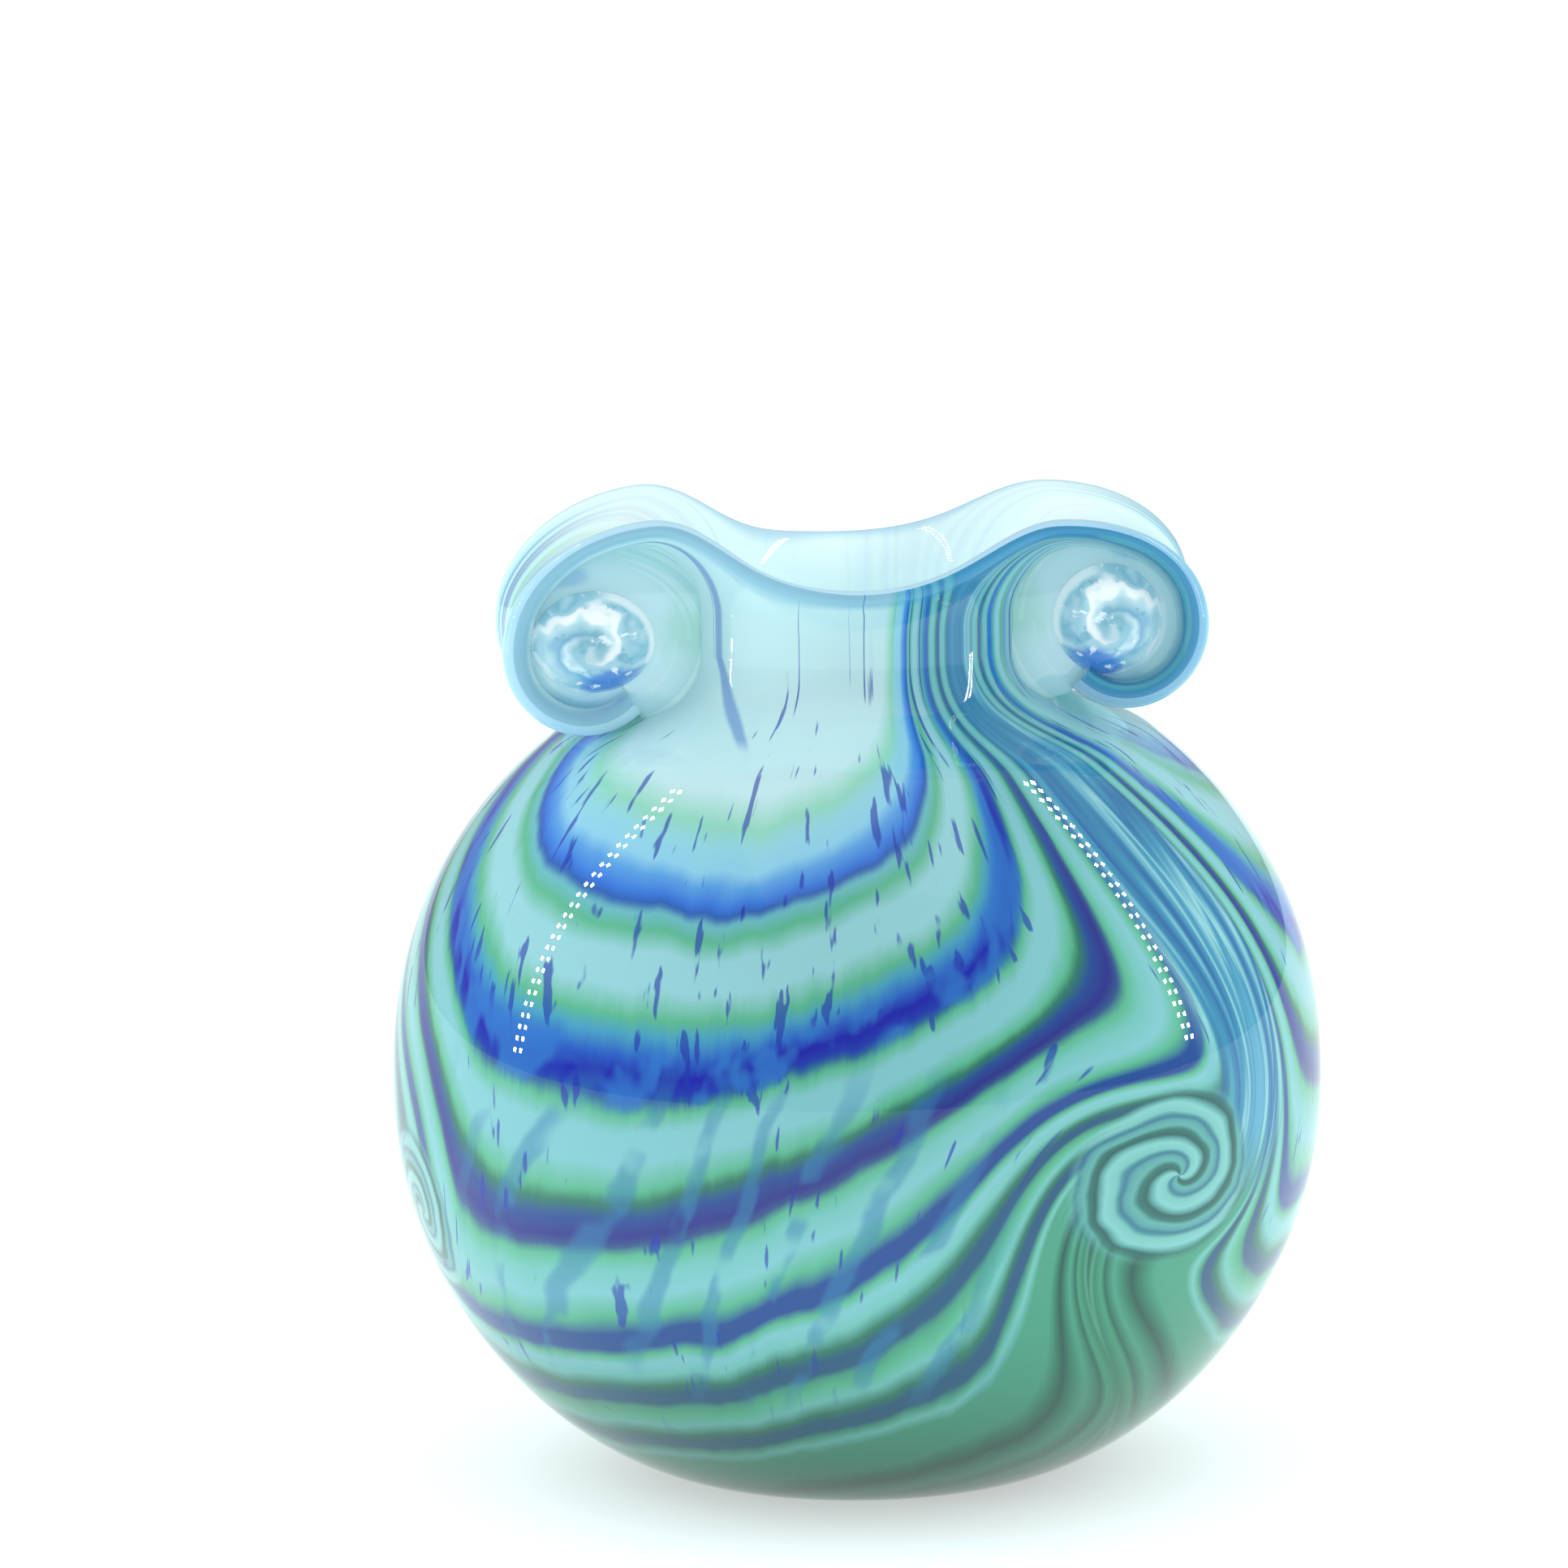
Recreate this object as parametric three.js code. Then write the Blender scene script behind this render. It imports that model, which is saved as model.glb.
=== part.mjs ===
// A hand blown art glass vase: a round body of layered glass on a flat ground foot, a short
// neck, and a saddle shaped lip whose two high sides are drawn out and rolled into scrolls.
//
// The layers are built as they are laid down at the bench, from the inside out: the opaque
// lining bubble, a wide green trail and a narrow cobalt trail wound round it, and the clear
// casing. The lip stands on the neck, the scrolls continue it, and each scroll ends in a
// thick tip of clear glass.
//
// Units are millimetres. +Z is up, the origin is the centre of the foot, and the scrolls
// roll outwards along +X and -X. Neighbouring pieces keep a 0.3 mm gap.

import * as THREE from 'three';

// ---- Driving dimensions ----

// Body. The fullness values are powers: how square the wall is below and above the belly.
const BELLY_RADIUS = 76;
const BELLY_HEIGHT = 64.8;
const FOOT_RADIUS = 26;
const NECK_RADIUS = 28.6;
const NECK_TOP = 138;
const SHOULDER_RADIUS = 50;
const LOWER_FULLNESS = 1.235;
const UPPER_FULLNESS = { power: 2.27, root: 0.588 };
const SHOULDER_EASE = 8;
const NECK_EASE = 11;

// Layers, as depths below the outer surface on the body and at the neck
const CASING = { body: [0, 2.2], neck: [0, 1.35] };
const COBALT = { body: [2.6, 3.1] };
const GREEN = { body: [3.5, 4.0] };
const LINING = { body: [4.5, 6.2], neck: [1.65, 3.0] };
const THIN_FROM = 0.8;
const BASE_EXTRA = 4;
const BASE_SHARE = 0.16;

// Colour trails: turns round the body, height of the band, and the upward drags
const TRAIL_TURNS = 5;
const TRAIL_START = 0.1;
const TRAIL_END = 0.74;
const COBALT_HEIGHT = 5;
const GREEN_HEIGHT = 9;
const DRAG_ANGLES = [-45, 75, 195];
const DRAG_RISE = 0.06;
const DRAG_SPREAD = 26;

// Lip
const GAP = 0.3;
const LIP_THICKNESS = 3;
const LIP_DIP_HEIGHT = 152.3;
const LIP_DIP_REACH = 32;
const FLARE_RADIUS = 12;
const LIP_END = 40;
const TROUGH_DEPTH = 5;
const TROUGH_REACH = [4, 32];
const TROUGH_FADE = 3.5;
const RIM_ROUND = 0.7;

// Scrolls: side, top of the lobe, half width at the lobe, and the roll. The roll's radius
// opens with some slack over the lobe, settles, and tightens by so much per radian of turn
// once it has turned far enough.
const SCROLLS = {
  right: {
    side: 1,
    top: [33, 159],
    halfWidth: 22.5,
    roll: { radius: 15.6, slack: 18.6, takeUp: 1.87, tighten: 1.18, tightenFrom: 0 },
  },
  left: {
    side: -1,
    top: [30, 160.2],
    halfWidth: 20.5,
    roll: { radius: 12.8, slack: 20.5, takeUp: 1.02, tighten: 1.35, tightenFrom: 2.6 },
  },
};
const ROLL_TURN = THREE.MathUtils.degToRad(225);
const TIP_TURN = THREE.MathUtils.degToRad(560);
const TIP_HALF_WIDTH = 14;

// Thickness of the roll, which swells inwards: the amounts that the ring adds at its edges and
// the clear tip all over, what the tip loses again at its end, and the turns over which each
// change happens
const RING_SWELL = { amount: 2, turns: [0.35, 1.6] };
const TIP_SWELL = { amount: 2, turns: [3.9, 5.6] };
const TIP_TAPER = { amount: 4.2, turns: [6.4, 10.4] };
const TIP_ROUND = 0.06;

// Facets
const SIDES = 40;
const WALL_STEPS = 20;
const BELOW_STEPS = 16;
const ABOVE_STEP = 0.08;
const SHOULDER_STEPS = 6;
const SHEET_ACROSS = 8;
const EDGE_CROWDING = 0.96;
const EDGE_SQUARENESS = 8;
const LIP_STEPS = 12;
const LIP_RINGS = 7;
const LOBE_STEP = 0.5;
const ROLL_STEP = 0.25;
const ROLL_SECTIONS = 24;
const TIP_SECTIONS = 30;

// ---- Materials ----

const glass = (color, roughness) => new THREE.MeshStandardMaterial({ color, roughness, metalness: 0 });
const CLEAR_AQUA = glass(0x8fd3d6, 0.05);
const OPAL_AQUA = glass(0xb4e4e4, 0.12);
const COBALT_BLUE = glass(0x1c3fb0, 0.08);
const SEA_GREEN = glass(0x4faf8a, 0.08);
const PALE_AQUA = glass(0xa5dde2, 0.05);
const CLEAR_TIP = glass(0xd5eef0, 0.03);

// ---- Outer wall of the body ----

// The wall runs from the edge of the foot over the belly and the shoulder to the neck.
function wallCurve() {
  const points = [];
  for (let i = 0; i <= BELOW_STEPS; i += 1) {
    const angle = (i / BELOW_STEPS) * (Math.PI / 2);
    const radius = FOOT_RADIUS + (BELLY_RADIUS - FOOT_RADIUS) * Math.sin(angle) ** LOWER_FULLNESS;
    points.push(new THREE.Vector2(radius, BELLY_HEIGHT * (1 - Math.cos(angle))));
  }
  let height = 0;
  let radius = BELLY_RADIUS;
  for (let i = 1; radius > SHOULDER_RADIUS; i += 1) {
    height = Math.sin(i * ABOVE_STEP);
    radius = BELLY_RADIUS * (1 - height ** UPPER_FULLNESS.power) ** UPPER_FULLNESS.root;
    points.push(new THREE.Vector2(radius, BELLY_HEIGHT + BELLY_RADIUS * height));
  }
  const start = points.at(-1);
  const before = points.at(-2);
  const slope = start.clone().sub(before).normalize();
  const shoulder = new THREE.CubicBezierCurve(
    start,
    start.clone().addScaledVector(slope, SHOULDER_EASE),
    new THREE.Vector2(NECK_RADIUS, NECK_TOP - NECK_EASE),
    new THREE.Vector2(NECK_RADIUS, NECK_TOP),
  );
  points.push(...shoulder.getPoints(SHOULDER_STEPS).slice(1));
  return new THREE.SplineCurve(points);
}

const WALL = wallCurve();

// Depth of one face of a layer at a place along the wall, thinned towards the neck
function layerDepth(layer, face, along) {
  const depth = layer.body[face];
  if (!layer.neck) {
    return depth;
  }
  const thin = THREE.MathUtils.smoothstep(along, THIN_FROM, 1);
  return depth + (layer.neck[face] - depth) * thin;
}

// A point some depth inside the wall, with `along` running from 0 at the foot to 1 at the neck
function wallPoint(along, depth) {
  const point = WALL.getPointAt(along);
  const tangent = WALL.getTangentAt(along);
  return new THREE.Vector2(point.x - tangent.y * depth, point.y + tangent.x * depth);
}

// ---- Lathe layers ----

// An open vessel between the two faces of a layer
function vessel(layer, extraBase) {
  const outer = [];
  const inner = [];
  for (let i = 0; i <= WALL_STEPS; i += 1) {
    const along = i / WALL_STEPS;
    const thick = extraBase * Math.max(0, 1 - along / BASE_SHARE) ** 2;
    outer.push(wallPoint(along, layerDepth(layer, 0, along)));
    inner.push(wallPoint(along, layerDepth(layer, 1, along) + thick));
  }
  for (const face of [outer, inner]) {
    face.at(-1).y = NECK_TOP;
    face.unshift(new THREE.Vector2(0, face[0].y));
  }
  const profile = [...outer, ...inner.reverse()];
  return new THREE.LatheGeometry(profile, SIDES).rotateX(Math.PI / 2);
}

// ---- Lofted pieces ----

// Closed body through loops with the same number of points each. Unless it closes into a
// ring, its ends are capped by pairing the two sides of the first and last loop.
function loft(loops, ring = false) {
  const count = loops[0].length;
  const positions = loops.flat().flatMap((point) => [point.x, point.y, point.z]);
  const faces = [];
  const quad = (a, b, c, d) => {
    faces.push(a, b, c);
    faces.push(a, c, d);
  };
  const spans = ring ? loops.length : loops.length - 1;
  for (let i = 0; i < spans; i += 1) {
    const here = i * count;
    const next = ((i + 1) % loops.length) * count;
    for (let k = 0; k < count; k += 1) {
      const after = (k + 1) % count;
      quad(here + k, here + after, next + after, next + k);
    }
  }
  if (!ring) {
    const last = (loops.length - 1) * count;
    for (let k = 0; k < count / 2; k += 1) {
      const a = k;
      const b = k + 1;
      const c = (count - k - 1) % count;
      const d = (count - k) % count;
      if (b !== c) {
        faces.push(a, c, b);
        faces.push(last + a, last + b, last + c);
      }
      if (a !== d) {
        faces.push(a, d, c);
        faces.push(last + a, last + c, last + d);
      }
    }
  }
  const geometry = new THREE.BufferGeometry();
  geometry.setAttribute('position', new THREE.Float32BufferAttribute(positions, 3));
  geometry.setIndex(faces);
  geometry.computeVertexNormals();
  return geometry;
}

// ---- Colour trails ----

// A flat band wound up round the body, pulled upwards at each drag
function trail(layer, height) {
  const loops = [];
  const steps = TRAIL_TURNS * SIDES;
  for (let i = 0; i <= steps; i += 1) {
    const angle = (i * 2 * Math.PI) / SIDES;
    const rise = DRAG_ANGLES.reduce((sum, drag) => {
      const away = THREE.MathUtils.euclideanModulo(THREE.MathUtils.radToDeg(angle) - drag + 180, 360) - 180;
      return sum + DRAG_RISE * Math.exp(-((away / DRAG_SPREAD) ** 2));
    }, 0);
    const along = TRAIL_START + (TRAIL_END - TRAIL_START) * (i / steps) + rise;
    const half = height / 2 / WALL.getLength();
    const corner = (offset, face) => {
      const point = wallPoint(along + offset, layer.body[face]);
      return new THREE.Vector3(point.x * Math.sin(angle), -point.x * Math.cos(angle), point.y);
    };
    loops.push([corner(-half, 0), corner(-half, 1), corner(half, 1), corner(half, 0)]);
  }
  return loft(loops);
}

// ---- Lip and scrolls ----

const share = ({ amount, turns }, turn) => amount * THREE.MathUtils.smoothstep(turn, ...turns);

function rollThickness(turn, across) {
  const ring = share(RING_SWELL, turn) * across ** 2;
  return LIP_THICKNESS + ring + share(TIP_SWELL, turn) - share(TIP_TAPER, turn);
}

function rollRadius(roll, turn) {
  const slack = roll.slack * Math.exp(-((roll.takeUp * turn) ** 2));
  return roll.radius + slack - roll.tighten * Math.max(0, turn - roll.tightenFrom);
}

// The rim line of one side in the XZ plane, from the dip at x = 0 over the lobe and round
// the roll. Each sample holds its distance, place and heading; the heading turns clockwise.
function rimLine(scroll) {
  const [topX, topZ] = scroll.top;
  const line = [];
  for (let x = 0; x < topX; x += LOBE_STEP) {
    const rise = (1 - Math.cos((Math.PI * x) / topX)) / 2;
    line.push({ distance: x, x, z: LIP_DIP_HEIGHT + (topZ - LIP_DIP_HEIGHT) * rise, turn: 0 });
  }
  let [x, z] = scroll.top;
  let turn = 0;
  for (let distance = topX; turn < TIP_TURN; distance += ROLL_STEP) {
    line.push({ distance, x, z, turn });
    turn += ROLL_STEP / rollRadius(scroll.roll, turn);
    x += ROLL_STEP * Math.cos(turn);
    z -= ROLL_STEP * Math.sin(turn);
  }
  return line;
}

for (const scroll of Object.values(SCROLLS)) {
  scroll.rim = rimLine(scroll);
  scroll.length = scroll.rim.at(-1).distance;
  scroll.rollEnd = scroll.rim.find((sample) => sample.turn > ROLL_TURN).distance;
}

function rimAt(scroll, distance) {
  const line = scroll.rim;
  const next = line.findIndex((sample) => sample.distance >= distance);
  if (next <= 0) {
    return next === 0 ? line[0] : line.at(-1);
  }
  const [a, b] = [line[next - 1], line[next]];
  const t = (distance - a.distance) / (b.distance - a.distance);
  const mix = (key) => a[key] + (b[key] - a[key]) * t;
  return { x: mix('x'), z: mix('z'), turn: mix('turn') };
}

// Half width of the sheet, from the front dip to the lobe and on along the roll
function halfWidth(scroll, distance) {
  const topX = scroll.top[0];
  if (distance < topX) {
    const narrow = (1 - Math.cos((Math.PI * distance) / topX)) / 2;
    return LIP_DIP_REACH + (scroll.halfWidth - LIP_DIP_REACH) * narrow;
  }
  const along = (distance - topX) / (scroll.length - topX);
  return scroll.halfWidth + (TIP_HALF_WIDTH - scroll.halfWidth) * along;
}

// How far the flare has dropped into the neck at a distance from the axis
function neckDrop(distance) {
  const inward = NECK_RADIUS - LIP_THICKNESS / 2 + FLARE_RADIUS - distance;
  if (inward <= 0) {
    return 0;
  }
  return FLARE_RADIUS - Math.sqrt(Math.max(0, FLARE_RADIUS ** 2 - inward ** 2));
}

// Middle of the sheet's thickness: `distance` along the rim line and `across` from -1 at
// the front edge to 1 at the back. The sheet sags between its edges like a trough.
function sheetPoint(scroll, distance, across) {
  const rim = rimAt(scroll, distance);
  const width = halfWidth(scroll, distance);
  const y = across * width;
  const grow = THREE.MathUtils.smoothstep(distance, ...TROUGH_REACH);
  const sag = TROUGH_DEPTH * grow * Math.exp(-rim.turn / TROUGH_FADE) * (1 - across ** 2);
  const drop = neckDrop(Math.hypot(distance, y));
  const x = rim.x - Math.sin(rim.turn) * sag;
  const z = rim.z - Math.cos(rim.turn) * sag - drop;
  return new THREE.Vector3(scroll.side * x, y, z);
}

// Moves a grid of points along its surface normals. Rows run along the first index and
// close on themselves when `wrap` is set.
function offsetGrid(grid, distance, wrap = false) {
  const rows = grid.length;
  const columns = grid[0].length;
  return grid.map((row, i) => row.map((point, k) => {
    const before = wrap ? grid[(i + rows - 1) % rows][k] : grid[Math.max(i - 1, 0)][k];
    const after = wrap ? grid[(i + 1) % rows][k] : grid[Math.min(i + 1, rows - 1)][k];
    const along = after.clone().sub(before);
    const across = grid[i][Math.min(k + 1, columns - 1)].clone().sub(grid[i][Math.max(k - 1, 0)]);
    const amount = typeof distance === 'function' ? distance(i, k) : distance;
    return point.clone().addScaledVector(along.cross(across).normalize(), amount);
  }));
}

// Outline of the lip seen from above as one loop of places on the sheet: along the front
// rim, across the right lobe, back along the rear rim and across the left lobe
function lipOutline() {
  const places = [];
  const along = LIP_STEPS;
  const across = SHEET_ACROSS;
  const add = (scroll, distance, edge, joins) => places.push({ scroll, distance, edge, joins });
  const { left, right } = SCROLLS;
  for (let i = 0; i < along; i += 1) {
    add(right, (LIP_END * i) / along, -1, false);
  }
  for (let i = 0; i <= across; i += 1) {
    add(right, LIP_END, -1 + (2 * i) / across, true);
  }
  for (let i = along - 1; i > 0; i -= 1) {
    add(right, (LIP_END * i) / along, 1, false);
  }
  for (let i = 0; i < along; i += 1) {
    add(left, (LIP_END * i) / along, 1, false);
  }
  for (let i = 0; i <= across; i += 1) {
    add(left, LIP_END, 1 - (2 * i) / across, true);
  }
  for (let i = along - 1; i > 0; i -= 1) {
    add(left, (LIP_END * i) / along, -1, false);
  }
  return places;
}

// The lip: rings of the sheet from the top of the neck out to the rim and to the scrolls
function lip() {
  const rings = LIP_RINGS;
  const neck = NECK_RADIUS - LIP_THICKNESS / 2;
  const bend = FLARE_RADIUS * (Math.PI / 2);
  const outline = lipOutline();
  const grid = outline.map(({ scroll, distance, edge }) => {
    const y = edge * halfWidth(scroll, distance);
    const reach = Math.hypot(distance, y);
    const bent = Math.min(reach - neck, FLARE_RADIUS);
    const length = FLARE_RADIUS * Math.acos(1 - bent / FLARE_RADIUS) + Math.max(0, reach - neck - FLARE_RADIUS);
    const row = [new THREE.Vector3((scroll.side * distance * neck) / reach, (y * neck) / reach, NECK_TOP + GAP)];
    for (let i = 0; i <= rings; i += 1) {
      const along = (length * i) / rings;
      const turned = Math.min(along / FLARE_RADIUS, Math.PI / 2);
      const from = neck + FLARE_RADIUS * (1 - Math.cos(turned)) + Math.max(0, along - bend);
      const place = (distance * from) / reach;
      row.push(sheetPoint(scroll, place, (y * from) / reach / halfWidth(scroll, place)));
    }
    return row;
  });
  const half = LIP_THICKNESS / 2;
  const outside = offsetGrid(grid, half, true);
  const inside = offsetGrid(grid, -half, true);
  const loops = grid.map((row, i) => {
    const end = row.length - 1;
    const outward = row[end].clone().sub(row[end - 1]).normalize();
    const edge = row[end].clone().addScaledVector(outward, outline[i].joins ? 0 : half * RIM_ROUND);
    return [...outside[i], edge, ...inside[i].reverse()];
  });
  return loft(loops.reverse(), true);
}

// A length of the rolled sheet with rounded edges. `close` gives the share of the full
// thickness along the length, from 0 to 1. The sheet swells on the inside of the roll. One
// more row past each end gives the end rows true normals.
function rolledSheet(scroll, from, to, steps, close) {
  const grid = [];
  const turns = [];
  const spans = SHEET_ACROSS;
  const reach = (Math.PI / 2) * EDGE_CROWDING;
  for (let i = -1; i <= steps + 1; i += 1) {
    const distance = from + ((to - from) * i) / steps;
    const row = [];
    for (let k = 0; k <= spans; k += 1) {
      const across = Math.sin(((2 * k) / spans - 1) * reach) / Math.sin(reach);
      row.push(sheetPoint(scroll, distance, across));
    }
    grid.push(row);
    turns.push(rimAt(scroll, distance).turn);
  }
  const face = (way) => (i, k) => {
    const across = Math.abs(k / spans - 0.5) * 2;
    const thickness = rollThickness(turns[i], across);
    const half = (thickness / 2) * close((i - 1) / steps) * Math.sqrt(1 - across ** EDGE_SQUARENESS);
    return scroll.side * (way * half - (thickness - LIP_THICKNESS) / 2);
  };
  const over = offsetGrid(grid, face(1)).slice(1, -1);
  const under = offsetGrid(grid, face(-1)).slice(1, -1);
  const loops = over.map((row, i) => [
    ...under[i],
    ...row.slice(1, spans).reverse(),
  ]);
  return loft(scroll.side > 0 ? loops : loops.reverse());
}

function scrollRoll(scroll) {
  return rolledSheet(scroll, LIP_END + GAP, scroll.rollEnd, ROLL_SECTIONS, () => 1);
}

// The clear tip carries the roll on and closes with a rounded end
function scrollTip(scroll) {
  const start = scroll.rollEnd + 2 * GAP;
  const close = (t) => Math.sqrt(Math.max(0.04, 1 - Math.max(0, (t - 1 + TIP_ROUND) / TIP_ROUND) ** 2));
  return rolledSheet(scroll, start, scroll.length, TIP_SECTIONS, close);
}

// ---- Assembly ----

const group = new THREE.Group();

function add(name, geometry, material) {
  const mesh = new THREE.Mesh(geometry, material);
  mesh.name = name;
  group.add(mesh);
}

add('lining_bubble', vessel(LINING, BASE_EXTRA), OPAL_AQUA);
add('green_trail', trail(GREEN, GREEN_HEIGHT), SEA_GREEN);
add('cobalt_trail', trail(COBALT, COBALT_HEIGHT), COBALT_BLUE);
add('clear_casing', vessel(CASING, 0), CLEAR_AQUA);
add('saddle_lip', lip(), PALE_AQUA);
add('right_scroll', scrollRoll(SCROLLS.right), PALE_AQUA);
add('left_scroll', scrollRoll(SCROLLS.left), PALE_AQUA);
add('right_scroll_tip', scrollTip(SCROLLS.right), CLEAR_TIP);
add('left_scroll_tip', scrollTip(SCROLLS.left), CLEAR_TIP);

export default group;
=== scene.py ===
# Looks of the hand blown art glass vase: marbled glass on a round body, and a saddle shaped
# lip rolled into two scrolls. Fused pale glass with a clear ball in it fills each roll.
import math

import bpy
import numpy as np
from mathutils import Matrix, Vector


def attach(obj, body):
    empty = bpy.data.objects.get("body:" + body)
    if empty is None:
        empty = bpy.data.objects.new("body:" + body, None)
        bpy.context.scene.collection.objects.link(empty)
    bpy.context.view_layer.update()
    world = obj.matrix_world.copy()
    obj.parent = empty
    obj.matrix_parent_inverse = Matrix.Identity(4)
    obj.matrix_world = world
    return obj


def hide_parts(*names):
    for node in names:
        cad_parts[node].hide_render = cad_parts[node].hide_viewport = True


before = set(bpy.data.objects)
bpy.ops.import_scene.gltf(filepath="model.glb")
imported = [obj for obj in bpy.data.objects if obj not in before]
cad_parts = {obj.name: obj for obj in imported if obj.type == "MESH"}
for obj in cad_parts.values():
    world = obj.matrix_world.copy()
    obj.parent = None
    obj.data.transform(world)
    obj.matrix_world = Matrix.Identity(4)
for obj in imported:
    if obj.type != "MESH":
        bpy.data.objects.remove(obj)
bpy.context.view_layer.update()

MM = 0.001

# ---- Driving dimensions, in millimetres, as the CAD model has them ----

BELLY_RADIUS = 76
BELLY_HEIGHT = 64.8
FOOT_RADIUS = 26
NECK_RADIUS = 28.6
NECK_TOP = 138
SHOULDER_RADIUS = 50
LOWER_FULLNESS = 1.235
UPPER_FULLNESS = (2.27, 0.588)
SHOULDER_PULL = 8  # how far the shoulder and the neck each run on before they bend
NECK_PULL = 11

WALL_THICKNESS = 6.2
LIP_THICKNESS = 3
THIN_FROM = 0.8
BASE_EXTRA = 4
BASE_SHARE = 0.16

LIP_DIP_HEIGHT = 152.3
LIP_DIP_REACH = 32
FLARE_RADIUS = 12
LIP_END = 40
TROUGH_DEPTH = 5
TROUGH_FADE = 3.5

SCROLLS = {
    "right": dict(
        side=1,
        ball=(40.5, 142.3),
        ball_radius=(10.4, 10.6),
        edge_turn=0.67,
        top=(33, 159),
        half_width=22.5,
        radius=15.6,
        slack=18.6,
        take_up=1.87,
        tighten=1.18,
        tighten_from=0,
    ),
    "left": dict(
        side=-1,
        ball=(42.5, 140.4),
        ball_radius=(11.6, 9.8),
        edge_turn=0.5,
        top=(30, 160.2),
        half_width=20.5,
        radius=12.8,
        slack=20.5,
        take_up=1.02,
        tighten=1.35,
        tighten_from=2.6,
    ),
}
# The CAD's clear tips carry the sheet on to TIP_TURN, and it narrows all the way there. Here
# the sheet is drawn as far as ROLL_TURN.
ROLL_TURN = math.radians(225)
TIP_TURN = math.radians(560)
TIP_HALF_WIDTH = 14
# Extra thickness, and the turns in radians over which it comes
RING_SWELL = (2, 0.35, 1.6)
TIP_SWELL = (2, 3.9, 5.6)

# ---- How finely things are drawn ----

BELLY_ROWS = 56
SHOULDER_STEP = 0.02
NECK_BEND_ROWS = 36
LOBE_STEP = 0.5
RIM_STEP = 0.25
SLOPE_STEP = 0.3
WIDTH_STEP = 0.2
ACROSS_PLACES = 34
OUTLINE_STEPS = 37
LIP_STEPS = 26
NECK_ROWS = 4
DISC_ROWS = 6
ROLL_STEP = 0.7
WELDS_PER_MM = 500
WELD_SHIFT = 0.137  # keeps points at round numbers away from the steps of the rounding
FAR_FROM_EDGE = 99

# ---- The outer wall of the body ----


def outer_wall():
    """Radius, height and distance along the wall, from the edge of the foot to the neck."""
    points = []
    for angle in np.linspace(0, math.pi / 2, BELLY_ROWS):
        radius = FOOT_RADIUS + (BELLY_RADIUS - FOOT_RADIUS) * math.sin(angle) ** LOWER_FULLNESS
        points.append((radius, BELLY_HEIGHT * (1 - math.cos(angle))))
    power, root = UPPER_FULLNESS
    radius = BELLY_RADIUS
    turn = 0.0
    while radius > SHOULDER_RADIUS:
        turn += SHOULDER_STEP
        height = math.sin(turn)
        radius = BELLY_RADIUS * (1 - height**power) ** root
        points.append((radius, BELLY_HEIGHT + BELLY_RADIUS * height))
    start = np.array(points[-1])
    slope = start - np.array(points[-4])
    slope = slope / np.linalg.norm(slope)
    reach = start + slope * SHOULDER_PULL
    under = np.array((NECK_RADIUS, NECK_TOP - NECK_PULL))
    end = np.array((NECK_RADIUS, NECK_TOP))
    for t in np.linspace(0, 1, NECK_BEND_ROWS)[1:]:
        u = 1 - t
        bend = u**3 * start + 3 * u * u * t * reach + 3 * u * t * t * under + t**3 * end
        points.append(tuple(bend))
    points = np.array(points, float)
    steps = np.linalg.norm(np.diff(points, axis=0), axis=1)
    along = np.concatenate(([0], np.cumsum(steps)))
    return points, along


WALL, WALL_ALONG = outer_wall()
WALL_LENGTH = WALL_ALONG[-1]


def wall_normals(points):
    tangent = np.gradient(points, axis=0)
    tangent = tangent / np.linalg.norm(tangent, axis=1)[:, None]
    return np.stack((tangent[:, 1], -tangent[:, 0]), axis=1)


def smoothstep(x, low, high):
    t = np.clip((x - low) / (high - low), 0, 1)
    return t * t * (3 - 2 * t)


def inner_wall():
    """The inside of the body, at its full glass thickness below the outer wall."""
    share = WALL_ALONG / WALL_LENGTH
    depth = WALL_THICKNESS + (LIP_THICKNESS - WALL_THICKNESS) * smoothstep(share, THIN_FROM, 1)
    depth = depth + BASE_EXTRA * np.maximum(0, 1 - share / BASE_SHARE) ** 2
    inside = WALL - wall_normals(WALL) * depth[:, None]
    inside[-1] = (NECK_RADIUS - LIP_THICKNESS, NECK_TOP)
    return inside


# ---- The lip and the scrolls as one bent sheet ----


def rim_line(scroll):
    """Distance, x, z and heading along the rim, over the lobe and round the roll."""
    top_x, top_z = scroll["top"]
    rows = []
    for x in np.arange(0, top_x, LOBE_STEP):
        rise = (1 - math.cos(math.pi * x / top_x)) / 2
        rows.append((x, x, LIP_DIP_HEIGHT + (top_z - LIP_DIP_HEIGHT) * rise, 0))
    step = RIM_STEP
    x, z, turn, distance = top_x, top_z, 0.0, float(top_x)
    while turn < TIP_TURN:
        rows.append((distance, x, z, turn))
        slack = scroll["slack"] * math.exp(-((scroll["take_up"] * turn) ** 2))
        tight = scroll["tighten"] * max(0, turn - scroll["tighten_from"])
        turn += step / (scroll["radius"] + slack - tight)
        x += step * math.cos(turn)
        z -= step * math.sin(turn)
        distance += step
    return np.array(rows)


for scroll in SCROLLS.values():
    scroll["rim"] = rim_line(scroll)
    scroll["length"] = scroll["rim"][-1, 0]
    past = scroll["rim"][:, 3] > ROLL_TURN
    scroll["roll_end"] = scroll["rim"][past][0, 0]


def half_width(scroll, distance):
    top_x = scroll["top"][0]
    narrow = (1 - np.cos(np.pi * np.minimum(distance, top_x) / top_x)) / 2
    before = LIP_DIP_REACH + (scroll["half_width"] - LIP_DIP_REACH) * narrow
    share = np.maximum(0, distance - top_x) / (scroll["length"] - top_x)
    return before + (TIP_HALF_WIDTH - scroll["half_width"]) * share


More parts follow.
